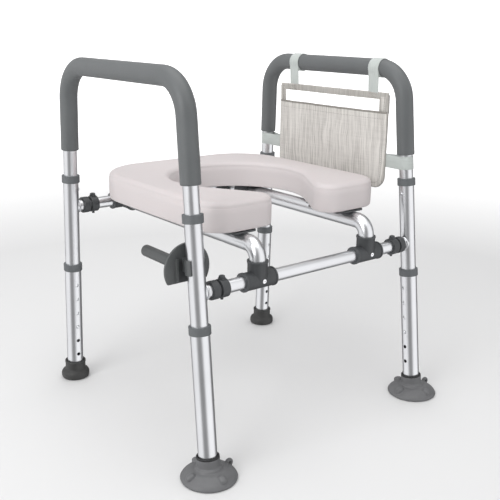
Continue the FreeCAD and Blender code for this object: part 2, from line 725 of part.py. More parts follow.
def seat_cushion():
    body = horseshoe(0, CUSHION_BACK_Y, CUSHION_BOTTOM_Z, CUSHION_TOP_Z)
    rim = [edge for edge in body.Edges if edge.BoundBox.ZMin > CUSHION_TOP_Z - JOIN]
    body = body.makeFillet(CUSHION_EDGE_R, rim)
    recess_inset = BOARD_INSET - RECESS_SIDE_GAP
    recess_top = BOARD_Z + BOARD_THICK + RECESS_TOP_GAP
    return body.cut(horseshoe(recess_inset, board_back_y() + RECESS_SIDE_GAP, CUSHION_BOTTOM_Z, recess_top))


def clip_places():
    """Each clip as (seat tube's x, the clip's lengths)."""
    return [(x, clip) for x in (-TEE_X, TEE_X) for clip in (FRONT_CLIP, REAR_CLIP)]


def clip_screw_places():
    offsets = (-CLIP_SCREW_X, CLIP_SCREW_X)
    return [(x + offset, clip["screw_y"]) for x, clip in clip_places() for offset in offsets]


def seat_board():
    body = horseshoe(BOARD_INSET, board_back_y(), BOARD_Z, BOARD_Z + BOARD_THICK)
    for x, y in clip_screw_places():
        hole_low = Vector(x, y, BOARD_Z)
        hole_top = Vector(x, y, BOARD_Z + BOARD_THICK - BOARD_HOLE_SHORT_OF_TOP)
        body = body.cut(cylinder(CLIP_SCREW_HOLE_R, hole_low, hole_top))
    return body


def seat_clip(x, clip):
    """A saddle that snaps down over a seat tube, with a flange for the board."""
    axis_z = REAR_BAR_Z
    top = axis_z + CLIP_R
    saddle_ends = [Vector(x, y, axis_z) for y in clip["saddle"]]
    flange_ends = [Vector(x, y, axis_z) for y in clip["flange"]]
    body = cylinder(CLIP_R, saddle_ends[0], saddle_ends[1])
    flange = box(
        Vector(x - CLIP_WIDTH / 2, clip["flange"][0], top - FLANGE_THICK),
        Vector(x + CLIP_WIDTH / 2, clip["flange"][1], top),
    )
    body = body.fuse(flange.makeFillet(CLIP_CORNER_R, edges_along(flange, Z_AXIS)))
    body = body.cut(cylinder(CLIP_BORE_R, flange_ends[0], flange_ends[1]))
    mouth = box(
        Vector(x - CLIP_R, clip["saddle"][0], axis_z - CLIP_R - CUT_PAST),
        Vector(x + CLIP_R, clip["saddle"][1], axis_z - clip["mouth_drop"]),
    )
    body = body.cut(mouth)
    for offset in (-CLIP_SCREW_X, CLIP_SCREW_X):
        hole_top = Vector(x + offset, clip["screw_y"], top)
        body = body.cut(cylinder(CLIP_SCREW_HOLE_R, hole_top - Z_AXIS * (FLANGE_THICK + CUT_PAST), hole_top))
    return body


def clip_screw(x, y):
    """A pan-headed screw up through a clip's flange into the board."""
    head_top = Vector(x, y, REAR_BAR_Z + CLIP_R - FLANGE_THICK - FIXED_GAP)
    head_r, head_height = CLIP_SCREW_HEAD
    head = cylinder(head_r, head_top - Z_AXIS * head_height, head_top)
    head = head.makeFillet(CLIP_SCREW_HEAD_EDGE_R, [farthest(closed_edges(head), -Z_AXIS)])
    drive_r, drive_depth = CLIP_SCREW_DRIVE
    head_low = head_top - Z_AXIS * head_height
    drive = cylinder(drive_r, head_low - Z_AXIS * CUT_PAST, head_low + Z_AXIS * drive_depth)
    tip = Vector(x, y, BOARD_Z + BOARD_THICK - CLIP_SCREW_SHORT_OF_TOP)
    shank = cylinder(CLIP_SCREW_R, head_top - Z_AXIS * LOOSE_GAP, tip)
    return head.fuse(shank).cut(drive).removeSplitter()


def low_corners(body):
    """The body's two bottom edges that run across the bag's sheet."""
    across = edges_along(body, X_AXIS)
    return [edge for edge in across if edge.CenterOfMass.z < body.BoundBox.ZMin + JOIN]


def bag_back():
    """The bag's flat back sheet with its window, beside the right side frame's plane."""
    near_x = BAG_X - BAG_SHEET / 2
    far_x = BAG_X + BAG_SHEET / 2
    sheet = box(Vector(near_x, BAG_FRONT_Y, BAG_BOTTOM_Z), Vector(far_x, BAG_REAR_Y, BAG_TOP_Z))
    sheet = sheet.makeFillet(BAG_CORNER_R, low_corners(sheet))
    window = box(
        Vector(near_x - CUT_PAST, WINDOW_FRONT_Y, POCKET_TOP_Z),
        Vector(far_x + CUT_PAST, WINDOW_REAR_Y, WINDOW_TOP_Z),
    )
    return sheet.cut(window)


def pocket_prism(depth, inset):
    """A bowed prism on the back sheet's inner face. Its bottom corners follow the sheet's."""
    back = BAG_X - BAG_SHEET / 2 - LOOSE_GAP
    low = BAG_BOTTOM_Z + inset
    top = POCKET_TOP_Z
    bow = Part.Arc(
        Vector(back - POCKET_MOUTH + inset, 0, top),
        Vector(back - depth, 0, (low + top) / 2 - POCKET_BELLY_DROP),
        Vector(back - POCKET_FOOT + inset, 0, low),
    )
    corners = [Vector(back, 0, low), Vector(back, 0, top)]
    edges = [
        bow.toShape(),
        Part.LineSegment(bow.EndPoint, corners[0]).toShape(),
        Part.LineSegment(corners[0], corners[1]).toShape(),
        Part.LineSegment(corners[1], bow.StartPoint).toShape(),
    ]
    face = Part.Face(Part.Wire(edges))
    face.translate(Y_AXIS * (BAG_FRONT_Y + inset))
    prism = face.extrude(Y_AXIS * (BAG_REAR_Y - BAG_FRONT_Y - 2 * inset))
    guard = box(
        Vector(back - depth - CUT_PAST, BAG_FRONT_Y + inset, low),
        Vector(back + CUT_PAST, BAG_REAR_Y - inset, top + CUT_PAST),
    )
    return prism.common(guard.makeFillet(BAG_CORNER_R - inset, low_corners(guard)))


def bag_pocket():
    """The pocket's front sheet: a bowed pouch, open at the top."""
    return pocket_prism(POCKET_DEPTH, 0).cut(pocket_prism(POCKET_DEPTH - POCKET_SHEET, POCKET_SEAM))


def bag_strap(centre_y):
    """A band sewn round the foam, with a tail that hangs down to the bag's top edge."""
    near_y = centre_y - STRAP_WIDTH / 2
    inner_r = FOAM_R + STRAP_SLACK
    outer_r = inner_r + STRAP_THICK
    room = Vector(2 * outer_r, 0, 2 * outer_r)
    near = Vector(0, near_y, HANDLE_TOP_Z)
    slab = box(near - room, near + room + Y_AXIS * STRAP_WIDTH)
    points = handle_points(FOAM_END_Z)
    band = swept_rod(points, HANDLE_BEND_R, outer_r).common(slab)
    band = band.cut(swept_rod(points, HANDLE_BEND_R, inner_r))
    low = BAG_TOP_Z + LOOSE_GAP
    corners = [
        Vector(-outer_r, near_y, HANDLE_TOP_Z),
        Vector(-inner_r, near_y, HANDLE_TOP_Z),
        Vector(BAG_X + STRAP_THICK / 2, near_y, low),
        Vector(BAG_X - STRAP_THICK / 2, near_y, low),
    ]
    tail = Part.Face(Part.makePolygon(corners + corners[:1])).extrude(Y_AXIS * STRAP_WIDTH)
    return band.fuse(tail).removeSplitter()


def bag_elastic(leg, bag_edge_y):
    """An elastic loop round a handle tube, sewn to the bag's side edge."""
    low = ELASTIC_Z - ELASTIC_HEIGHT / 2
    high = ELASTIC_Z + ELASTIC_HEIGHT / 2
    bore_r = HANDLE_TUBE[0] + LOOSE_GAP
    loop = cylinder(bore_r + ELASTIC_THICK, Z_AXIS * axial(leg, low), Z_AXIS * axial(leg, high))
    bore = cylinder(bore_r, Z_AXIS * (axial(leg, low) - CUT_PAST), Z_AXIS * (axial(leg, high) + CUT_PAST))
    tube_y = leg_y(leg, ELASTIC_Z)
    tongue = box(
        Vector(BAG_X - ELASTIC_TONGUE_HALF, min(tube_y, bag_edge_y), low + ELASTIC_TONGUE_INSET),
        Vector(BAG_X + ELASTIC_TONGUE_HALF, max(tube_y, bag_edge_y), high - ELASTIC_TONGUE_INSET),
    )
    return leg_to_side(loop, leg).fuse(tongue).cut(leg_to_side(bore, leg))


def bag_elastics():
    return [
        bag_elastic(FRONT_LEG, BAG_FRONT_Y - LOOSE_GAP),
        bag_elastic(REAR_LEG, BAG_REAR_Y + LOOSE_GAP),
    ]


def holder_clip_mouth(low, high):
    """The cutter that opens the clip towards the front, along the leg."""
    reach = 3 * HOLDER_CLIP_R
    half = math.radians(HOLDER_CLIP_HALF_MOUTH)
    base = axial(FRONT_LEG, low) - CUT_PAST
    hub = Vector(0, 0, base)
    near = Vector(reach * math.sin(half), -reach * math.cos(half), base)
    far = Vector(-near.x, near.y, base)
    face = Part.Face(Part.makePolygon([hub, near, far, hub]))
    return face.extrude(Z_AXIS * (axial(FRONT_LEG, high) + CUT_PAST - base))


def paper_holder():
    """A D-shaped side plate with a C-clip for the left front leg, in the row's own place."""
    leg = FRONT_LEG
    centre = Vector(-side_x(HOLDER_Z), HOLDER_PLATE_Y, HOLDER_Z)
    plate = cylinder(HOLDER_R, centre, centre + Y_AXIS * HOLDER_PLATE_THICK)
    margin = HOLDER_R + CUT_PAST
    cut_low = centre - Vector(margin, CUT_PAST, margin)
    cut_high = centre + Vector(margin, HOLDER_PLATE_THICK + CUT_PAST, -HOLDER_CHORD_DROP)
    plate = plate.cut(box(cut_low, cut_high))
    rib_middle = centre - X_AXIS * HOLDER_RIB_X
    rib = box(
        rib_middle - Vector(HOLDER_RIB_HALF_WIDTH, HOLDER_RIB_PROUD, HOLDER_RIB_HALF_HEIGHT),
        rib_middle + Vector(HOLDER_RIB_HALF_WIDTH, JOIN, HOLDER_RIB_HALF_HEIGHT),
    )
    low = HOLDER_CLIP_Z - HOLDER_CLIP_HEIGHT / 2
    high = HOLDER_CLIP_Z + HOLDER_CLIP_HEIGHT / 2
    sleeve = cylinder(HOLDER_CLIP_R, Z_AXIS * axial(leg, low), Z_AXIS * axial(leg, high))
    sleeve = leg_to_row(sleeve.cut(holder_clip_mouth(low, high)), leg, "left")
    neck = box(
        Vector(centre.x - HOLDER_NECK_HALF, leg_y(leg, HOLDER_CLIP_Z), low + JOIN),
        Vector(centre.x + HOLDER_NECK_HALF, HOLDER_PLATE_Y + JOIN, high - JOIN),
    )
    bore_ends = (Z_AXIS * axial(leg, low - HOLDER_R), Z_AXIS * axial(leg, high + HOLDER_R))
    bore = cylinder(MID_TUBE[0] + LOOSE_GAP, bore_ends[0], bore_ends[1])
    body = plate.fuse([rib, sleeve, neck]).cut(leg_to_row(bore, leg, "left"))
    return body.removeSplitter()


def holder_spindle():
    """A plain rod that carries the paper roll, fixed in the side plate's back."""
    start = Vector(-side_x(HOLDER_Z), HOLDER_PLATE_Y + HOLDER_PLATE_THICK + FIXED_GAP, HOLDER_Z)
    rod = cylinder(SPINDLE_R, start, start + Y_AXIS * SPINDLE_LENGTH)
    return rod.makeFillet(SPINDLE_END_R, [farthest(closed_edges(rod), Y_AXIS)])


def build_centre():
    tees, screws = tees_and_screws()
    for name, y, z in bar_places():
        export(crossbar(y, z), name + "_crossbar")
    for node, body in tees.items():
        export(body, node)
    export(Part.makeCompound(screws), "tee_screws")
    rings = []
    for name, y, z in bar_places():
        ring = lock_collar(y, z)
        rings += [ring, ring.mirror(ORIGIN, X_AXIS)]
    export(Part.makeCompound(rings), "lock_collars")
    rail = seat_tube()
    export(rail, "seat_tube_right")
    export(rail.mirror(ORIGIN, X_AXIS), "seat_tube_left")
    export(seat_board(), "seat_board")
    export(seat_cushion(), "seat_cushion")
    export(Part.makeCompound([seat_clip(x, clip) for x, clip in clip_places()]), "seat_clips")
    export(Part.makeCompound([clip_screw(x, y) for x, y in clip_screw_places()]), "seat_clip_screws")


def build_side(side):
    def placed(shape):
        return shape if side == "right" else shape.mirror(ORIGIN, X_AXIS)

    export(side_to_row(handle_tube(), side), "handle_tube_" + side)
    export(side_to_row(foam_grip(), side), "foam_grip_" + side)
    collars = [leg_to_row(upper_collar(leg), leg, side) for leg in LEGS]
    export(Part.makeCompound(collars), "upper_collars_" + side)
    caps = []
    for leg, (name, y, z) in zip(LEGS, bar_places()):
        tail = name + "_" + side
        export(placed(mid_tube(leg, z)), "mid_tube_" + tail)
        export(placed(width_tube(y, z)), "width_tube_" + tail)
        export(placed(lock_pin(y, z)), "lock_pin_" + tail)
        caps.append(placed(end_ring(CAP_IN_X, CAP_OUT_X, False, y, z)))
        export(leg_to_row(handle_button(leg), leg, side), "handle_button_" + tail)
        export(leg_to_row(leg_button(leg), leg, side), "leg_button_" + tail)
        export(leg_to_row(lower_tube(leg), leg, side), "lower_tube_" + tail)
        export(leg_to_row(lower_collar(leg), leg, side), "lower_collar_" + tail)
    export(Part.makeCompound(caps), "stub_caps_" + side)
    export(suction_foot(side), "suction_foot_" + side)
    export(rubber_tip(side), "rubber_tip_" + side)


def build_bag():
    export(side_to_row(bag_back(), "right"), "bag_back")
    export(side_to_row(bag_pocket(), "right"), "bag_pocket")
    straps = [side_to_row(bag_strap(y), "right") for y in STRAP_CENTRES_Y]
    export(Part.makeCompound(straps), "bag_straps")
    elastics = [side_to_row(shape, "right") for shape in bag_elastics()]
    export(Part.makeCompound(elastics), "bag_elastics")


def build_paper_holder():
    export(paper_holder(), "paper_holder")
    export(holder_spindle(), "paper_spindle")


os.makedirs("parts", exist_ok=True)
build_centre()
build_side("left")
build_side("right")
build_bag()
build_paper_holder()
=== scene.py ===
import json
import math

import bmesh
import bpy
import numpy as np
from mathutils import Matrix, Vector, noise

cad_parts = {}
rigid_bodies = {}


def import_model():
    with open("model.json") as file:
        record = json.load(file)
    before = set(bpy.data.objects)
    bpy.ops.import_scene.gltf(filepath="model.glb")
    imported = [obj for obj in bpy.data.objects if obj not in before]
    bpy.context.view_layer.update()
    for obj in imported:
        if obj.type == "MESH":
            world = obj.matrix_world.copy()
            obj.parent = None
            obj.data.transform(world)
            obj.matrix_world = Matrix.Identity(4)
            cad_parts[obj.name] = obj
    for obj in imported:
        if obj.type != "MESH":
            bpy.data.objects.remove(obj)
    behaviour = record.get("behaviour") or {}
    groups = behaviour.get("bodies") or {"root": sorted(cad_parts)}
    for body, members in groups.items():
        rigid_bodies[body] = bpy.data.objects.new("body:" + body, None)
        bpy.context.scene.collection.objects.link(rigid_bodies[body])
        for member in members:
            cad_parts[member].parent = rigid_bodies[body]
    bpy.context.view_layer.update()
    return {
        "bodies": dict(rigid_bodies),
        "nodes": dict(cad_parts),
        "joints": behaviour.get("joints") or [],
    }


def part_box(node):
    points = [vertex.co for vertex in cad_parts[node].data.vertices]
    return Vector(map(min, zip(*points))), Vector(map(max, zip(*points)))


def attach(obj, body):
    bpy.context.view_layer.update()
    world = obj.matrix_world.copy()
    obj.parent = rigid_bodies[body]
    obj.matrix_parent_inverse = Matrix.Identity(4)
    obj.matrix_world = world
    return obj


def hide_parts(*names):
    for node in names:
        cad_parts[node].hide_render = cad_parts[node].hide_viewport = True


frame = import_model()

# Looks for the toilet safety frame. Metres. -Y is the front, +X the right side, and the floor is Z = 0.

X = Vector((1, 0, 0))
Y = Vector((0, 1, 0))
Z = Vector((0, 0, 1))
SIDES = ("left", "right")

# Side frames: each leans inward, and its tubes share the legs' axes
SIDE_X = 0.252
SIDE_LEAN = 0.011
HANDLE_TUBE_R = 0.0127
LOWER_TUBE_R = 0.0159

# Suction feet: the collar's top, and each lug's and the tab's distance from the leg and height
COLLAR_TOP = 0.0375
LUG_OUT, LUG_UP = 0.0362, 0.0128
LUG_HALF_SIZES = (0.0084, 0.0064, 0.0066)
TAB_OUT, TAB_UP = 0.0405, 0.0125
VOXEL = 0.0010

# Foam grips
FOAM_R = 0.0165
FOAM_BORE_R = 0.01285
FOAM_BEND_R = 0.063
FOAM_EDGE_R = 0.0024
FOAM_STEP = 0.004
FOAM_AROUND = 56
FOAM_MOUTH = 0.006
CREASE_PITCH = 0.0115
CREASE_DEPTH = 0.0007

# Seat cushion
FRONT_CORNER_R = 0.052
BACK_CORNER_R = 0.105
OPENING_R = 0.130
OPENING_Y = 0.026
THROAT_X = 0.034
THROAT_R = 0.031
POCKET_INSET = 0.021
POCKET_DEPTH = 0.0047
TOP_EDGE_WIDE = 0.0115
TOP_EDGE_HIGH = 0.0092
CROWN = 0.0024
CROWN_REACH = 0.024
WALL_FOOT_R = 0.0035
TOP_RINGS = (0.0009, 0.0014, 0.0022, 0.0034, 0.0050, 0.0068, 0.0088, 0.0110, 0.0135, 0.017, 0.022, 0.028)

# Bag
BAG_PLANE = -0.0134
WINDOW_MARGIN_FRONT = 0.0235
WINDOW_MARGIN_REAR = 0.0135
WINDOW_TOP_DROP = 0.0135
POCKET_TOP_DROP = 0.0375
BAG_CORNER_R = 0.025
BAG_CELL = 0.004
BAG_THICK = 0.0012
POCKET_BULGE = 0.009
STRAP_WIDTH = 0.0260
STRAP_THICK = 0.0013
STITCH_LENGTH = 0.0026
STITCH_PITCH = 0.0040
TAPE_WIDTH = 0.009
ELASTIC_WIDTH = 0.025
STRAP_TAIL = 0.013

# Stage, with angles in degrees. The floor bends up into a wall, and its paper glows away from the object.
FLOOR_HALF_WIDTH = 9.0
FLOOR_FRONT = -6.0
WALL_START = 5.0
WALL_BEND_R = 3.0
WALL_TOP = 8.0
GLOW_START = 1.2
GLOW_END = 3.6
GLOW = 0.85
OVERHEAD_POWER = 30
FRONT_POWER = 31
AMBIENT = (0.62, 0.62, 0.625)
CEILING_GREY = 1.1
PANELS = (
    (0.0, 0.26), (0.13, 0.26), (0.17, 1.10), (0.36, 1.20), (0.43, 0.34),
    (0.53, 0.34), (0.60, 1.30), (0.76, 1.30), (0.82, 0.18), (1.0, 0.26),
)
CAMERA_PLACE = Vector((-0.8950, -1.1264, 0.7121))
CAMERA_AZIMUTH = -38.85
CAMERA_DROP = 16.406
CAMERA_ROLL = 0.724
CAMERA_LENS = 55.47


# ---------------------------------------------------------------- places

def leg_up(end, side):
    """The leg's axis as a unit vector that points up, from its height joint."""
    name = "leg_height_" + end + "_" + side
    joint = next(j for j in frame["joints"] if j["name"] == name)
    return -Vector(joint["axis"]).normalized()


def leg_point(end, side, z):
    """The point of a leg's axis at height z."""
    low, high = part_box("lower_tube_" + end + "_" + side)
    middle = (low + high) / 2
    up = leg_up(end, side)
    return middle + up * ((z - middle.z) / up.z)


def on_side(side, x, y, z):
    """A point given in a side frame's own plane: x is outward from that plane."""
    lean = math.atan(SIDE_LEAN)
    out = SIDE_X + x * math.cos(lean) - z * math.sin(lean)
    sign = 1 if side == "right" else -1
    return Vector((sign * out, y, x * math.sin(lean) + z * math.cos(lean)))


def solids_of(node):
    """The box of each separate solid in a CAD node, as (low, high), sorted by position."""
    mesh = frame["nodes"][node].data
    points = np.array([v.co for v in mesh.vertices])
    places, index = np.unique(np.round(points, 6), axis=0, return_inverse=True)
    index = index.reshape(-1)
    ends = index[np.array([e.vertices for e in mesh.edges])]
    label = np.arange(len(places))
    while True:
        low = np.minimum(label[ends[:, 0]], label[ends[:, 1]])
        new = label.copy()
        np.minimum.at(new, ends[:, 0], low)
        np.minimum.at(new, ends[:, 1], low)
        new = new[new]
        if (new == label).all():
            break
        label = new
    boxes = []
    for value in np.unique(label):
        group = places[label == value]
        boxes.append((Vector(group.min(0)), Vector(group.max(0))))
    return sorted(boxes, key=lambda pair: tuple(pair[0]))


# ---------------------------------------------------------------- mesh tools

def mesh_piece(name, bm, material, body, replaced=(), sharp=40):
    """Turns a bmesh into a smooth-shaded piece that rides on a body."""
    bmesh.ops.remove_doubles(bm, verts=bm.verts, dist=1e-7)
    bmesh.ops.recalc_face_normals(bm, faces=bm.faces)
    mesh = bpy.data.meshes.new(name)
    bm.to_mesh(mesh)
    bm.free()
    mesh.shade_smooth()
    mesh.set_sharp_from_angle(angle=math.radians(sharp))
    mesh.materials.append(material)
    piece = bpy.data.objects.new(name, mesh)
    bpy.context.scene.collection.objects.link(piece)
    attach(piece, body)
    if replaced:
        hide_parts(*replaced)
    return piece


def evaluated(piece):
    """Applies a piece's modifiers to its mesh."""
    graph = bpy.context.evaluated_depsgraph_get()
    graph.update()
    mesh = bpy.data.meshes.new_from_object(piece.evaluated_get(graph))
    piece.modifiers.clear()
    piece.data = mesh
    return piece


def add_rings(bm, rings, closed_along=False, cap_start=False, cap_end=False):
    """Joins rings of equal length with quads. The rings themselves are closed loops."""
    loops = [[bm.verts.new(point) for point in ring] for ring in rings]
    count = len(loops[0])
    pairs = list(zip(loops, loops[1:]))
    if closed_along:
        pairs.append((loops[-1], loops[0]))
    for first, second in pairs:
        for k in range(count):
            after = (k + 1) % count
            bm.faces.new((first[k], first[after], second[after], second[k]))
    if cap_start:
        bm.faces.new(loops[0])
    if cap_end:
        bm.faces.new(loops[-1])
    return loops


def rounded(points, steps=5):
    """A 2-D path from (a, b) or (a, b, radius) corners, with each radius as a short arc."""
    path = []
    count = len(points)
    for k, point in enumerate(points):
        corner = Vector(point[:2])
        radius = point[2] if len(point) > 2 else 0
        if radius == 0 or k in (0, count - 1):
            path.append(corner)
            continue
        back = (Vector(points[k - 1][:2]) - corner).normalized()
        ahead = (Vector(points[k + 1][:2]) - corner).normalized()
        half = math.acos(max(-1, min(1, back.dot(ahead)))) / 2
        reach = radius / math.tan(half)
        centre = corner + (back + ahead).normalized() * (radius / math.sin(half))
        start = corner + back * reach - centre
        turn = math.pi - 2 * half
        sign = 1 if start.x * ahead.y - start.y * ahead.x > 0 else -1
        for step in range(steps + 1):
            angle = sign * turn * step / steps
            c, s = math.cos(angle), math.sin(angle)
            path.append(centre + Vector((start.x * c - start.y * s, start.x * s + start.y * c)))
    return path


def circle(centre, normal, radius, count=72):
    """A ring of points round an axis, always started from the same side."""
    across = normal.cross(Y if abs(normal.y) < 0.9 else X).normalized()
    other = normal.cross(across).normalized()
    ring = []
    for k in range(count):
        angle = 2 * math.pi * k / count
        ring.append(centre + (across * math.cos(angle) + other * math.sin(angle)) * radius)
    return ring


def lathe(bm, profile, place, count=72, closed=False):
    """Revolves (radius, height) points. place(height) gives the ring's centre and normal."""
    rings = []
    for radius, height in profile:
        centre, normal = place(height)
        rings.append(circle(centre, normal, max(radius, 1e-5), count))
    add_rings(bm, rings, closed_along=closed, cap_start=not closed, cap_end=not closed)


def rounded_path(corners, radius, step):
    """Points along a path through the corners, with every inner corner as an arc."""
    points = [corners[0].copy()]
    for before, corner, after in zip(corners, corners[1:], corners[2:]):
        back = (before - corner).normalized()
        ahead = (after - corner).normalized()
        half = back.angle(ahead) / 2
        reach = radius / math.tan(half)
        centre = corner + (back + ahead).normalized() * (radius / math.sin(half))
        start = corner + back * reach - centre
        axis = start.cross(corner + ahead * reach - centre).normalized()
        turn = math.pi - 2 * half
        points += straight(points[-1], centre + start, step)
        count = max(4, round(turn * radius / step))
        for k in range(1, count + 1):
            points.append(centre + Matrix.Rotation(turn * k / count, 3, axis) @ start)
    return points + straight(points[-1], corners[-1], step)


def straight(start, end, step):
    """Evenly spaced points from start to end, without the start."""
    count = max(1, round((end - start).length / step))
    return [start.lerp(end, k / count) for k in range(1, count + 1)]


def path_frames(path, plane_normal, closed=False):
    """Each point of a planar path with its direction and its in-plane normal."""
    frames = []
    count = len(path)
    for k, point in enumerate(path):
        before = path[k - 1] if k or closed else path[k]
        after = path[(k + 1) % count] if closed or k < count - 1 else path[k]
        along = (after - before).normalized()
        frames.append((point, along, plane_normal.cross(along).normalized()))
    return frames


def ribbon_ring(point, across, wide, width, thick):
    """A flat band's cross-section with rounded edges: across is its thin way."""
    half = width / 2 - thick / 2
    ring = []
    for sign in (1, -1):
        for degrees in (-90, -45, 0, 45, 90):
            angle = math.radians(degrees)
            out = sign * (half + math.cos(angle) * thick / 2)
            ring.append(point + wide * out + across * (sign * -math.sin(angle) * thick / 2))
    return ring


def add_ribbon(bm, path, wide, width, thick, closed=False):
    """A band of webbing that follows a planar path. wide is its broad direction."""
    rings = []
    for point, _, across in path_frames(path, wide, closed):
        rings.append(ribbon_ring(point, across, wide, width, thick))
    add_rings(bm, rings, closed_along=closed, cap_start=not closed, cap_end=not closed)


def add_stitches(bm, points, outward, thick=0.0006):
    """A row of sewn stitches along a line of points, standing just proud of the cloth."""
    lengths = [(b - a).length for a, b in zip(points, points[1:])]
    total = sum(lengths)
    count = int(total / STITCH_PITCH)
    for k in range(count):
        start = point_at(points, lengths, k * STITCH_PITCH)
        end = point_at(points, lengths, k * STITCH_PITCH + STITCH_LENGTH)
        along = (end - start).normalized()
        side = along.cross(outward).normalized()
        rings = []
        for share, lift in ((0.0, -0.5), (0.2, 0.5), (0.5, 0.8), (0.8, 0.5), (1.0, -0.5)):
            centre = start.lerp(end, share) + outward * (lift * thick)
            size = thick * (0.35 if share in (0.0, 1.0) else 0.55)
            rings.append([
                centre + (side * math.cos(a) + outward * math.sin(a)) * size
                for a in (math.pi / 3 * n for n in range(6))
            ])
        add_rings(bm, rings, cap_start=True, cap_end=True)


def point_at(points, lengths, distance):
    """The point a distance along a polyline."""
    for a, b, length in zip(points, points[1:], lengths):
        if distance <= length:
            return a.lerp(b, distance / length)
        distance -= length
    return points[-1].copy()


# ---------------------------------------------------------------- materials

class Nodes:
    """A node tree, built with short calls."""

    def __init__(self, owner, surface, space):
        owner.use_nodes = True
        self.tree = owner.node_tree
        self.surface = self.tree.nodes[surface]
        self.place = self.add("ShaderNodeTexCoord").outputs[space]

    def add(self, kind, inputs=None, **settings):
        node = self.tree.nodes.new(kind)
        for key, value in settings.items():
            setattr(node, key, value)
        for key, value in (inputs or {}).items():
            self.feed(node.inputs[key], value)
        return node

    def feed(self, socket, value):
        if isinstance(value, bpy.types.NodeSocket):
            self.tree.links.new(value, socket)
        else:
            socket.default_value = value

    def stretched(self, scale):
        """The place, with each coordinate multiplied by its own factor."""
        node = self.add("ShaderNodeMapping", {"Vector": self.place, "Scale": scale})
        return node.outputs["Vector"]

    def noise(self, scale, detail=3.0, vector=None, rough=0.5):
        inputs = {"Vector": vector or self.place, "Scale": scale, "Detail": detail, "Roughness": rough}
        return self.add("ShaderNodeTexNoise", inputs).outputs["Fac"]

    def ramp(self, factor, stops, interpolation="LINEAR"):
        """Maps a factor to colours. Each stop is (position, colour or grey)."""
        node = self.add("ShaderNodeValToRGB", {"Fac": factor})
        node.color_ramp.interpolation = interpolation
        elements = node.color_ramp.elements
        while len(elements) < len(stops):
            elements.new(0.5)
        for element, (position, colour) in zip(elements, stops):
            element.position = position
            element.color = rgba(colour)
        return node.outputs["Color"]

    def range(self, value, low, high):
        inputs = {"Value": value, "To Min": low, "To Max": high}
        return self.add("ShaderNodeMapRange", inputs).outputs["Result"]

    def math(self, operation, *values):
        return self.add("ShaderNodeMath", dict(enumerate(values)), operation=operation).outputs["Value"]

    def mix(self, factor, a, b):
        node = self.add("ShaderNodeMix", data_type="RGBA")
        self.feed(node.inputs["Factor"], factor)
        self.feed(node.inputs[6], a if isinstance(a, bpy.types.NodeSocket) else rgba(a))
        self.feed(node.inputs[7], b if isinstance(b, bpy.types.NodeSocket) else rgba(b))
        return node.outputs[2]

    def bump(self, height, strength, distance, below=None):
        node = self.add("ShaderNodeBump", {"Height": height, "Strength": strength, "Distance": distance})
        if below is not None:
            self.feed(node.inputs["Normal"], below)
        return node.outputs["Normal"]

    def edges(self, radius):
        """Normals that round off sharp edges by a small radius."""
        return self.add("ShaderNodeBevel", {"Radius": radius}, samples=4).outputs["Normal"]

    def finish(self, **inputs):
        for key, value in inputs.items():
            self.feed(self.surface.inputs[key.replace("_", " ")], value)


class Shader(Nodes):
    """A node material."""

    def __init__(self, name):
        self.material = bpy.data.materials.new(name)
        super().__init__(self.material, "Principled BSDF", "Object")

    def finish(self, **inputs):
        super().finish(**inputs)
        return self.material


def rgba(colour):
    if isinstance(colour, (int, float)):
        colour = (colour, colour, colour)
    return tuple(colour[:3]) + (1.0,)


def srgb(red, green, blue):
    """A colour from 0-255 display values."""
    def linear(value):
        value = value / 255
        return value / 12.92 if value <= 0.04045 else ((value + 0.055) / 1.055) ** 2.4
    return (linear(red), linear(green), linear(blue))


def tube_metal(name, grain):
    """Anodised aluminium. grain is the scale along x, y and z of its drawing lines."""
    s = Shader(name)
    lines = s.noise(1.0, 4.0, s.stretched(grain), 0.6)
    clouds = s.noise(14.0, 3.0)
    scuffs = s.noise(60.0, 6.0, rough=0.7)
    colour = s.mix(clouds, srgb(208, 209, 211), srgb(222, 223, 225))
    roughness = s.math("ADD", s.range(lines, 0.24, 0.34), s.range(scuffs, -0.03, 0.05))
    normal = s.bump(lines, 0.06, 0.0002, s.edges(0.0004))
    return s.finish(Base_Color=colour, Metallic=1.0, Roughness=roughness, Normal=normal)


def foam_rubber():
    """Dark grey closed-cell foam with fine pores and a faint bloom."""
    s = Shader("foam_rubber")
    pores = s.add("ShaderNodeTexVoronoi", {"Vector": s.place, "Scale": 900.0}).outputs["Distance"]
    patches = s.noise(22.0, 4.0)
    colour = s.mix(patches, srgb(78, 81, 82), srgb(90, 93, 94))
    colour = s.mix(s.range(s.noise(500.0, 2.0), 0.0, 0.22), colour, srgb(108, 111, 112))
    normal = s.bump(pores, 0.22, 0.0003, s.bump(s.noise(160.0, 3.0), 0.12, 0.0006))
    roughness = s.range(patches, 0.44, 0.54)
    return s.finish(Base_Color=colour, Roughness=roughness, Normal=normal, Specular_IOR_Level=0.6,
                    Sheen_Weight=0.12, Sheen_Roughness=0.5)


def moulded_plastic(name, dark, light, roughness, edge=0.0006):
    """Injection-moulded plastic with a fine spark texture and rubbed edges."""
    s = Shader(name)
    patches = s.noise(40.0, 4.0)
    spark = s.noise(1500.0, 2.0)
    colour = s.mix(patches, dark, light)
    worn = s.add("ShaderNodeNewGeometry").outputs["Pointiness"]
    rub = s.ramp(worn, ((0.52, 0.0), (0.60, 0.35)))
    colour = s.mix(rub, colour, tuple(min(1.0, 2.2 * c) for c in light))
    normal = s.bump(spark, 0.12, 0.00015, s.edges(edge))
    rough = s.range(s.noise(90.0, 3.0), roughness - 0.05, roughness + 0.06)
    return s.finish(Base_Color=colour, Roughness=rough, Normal=normal)


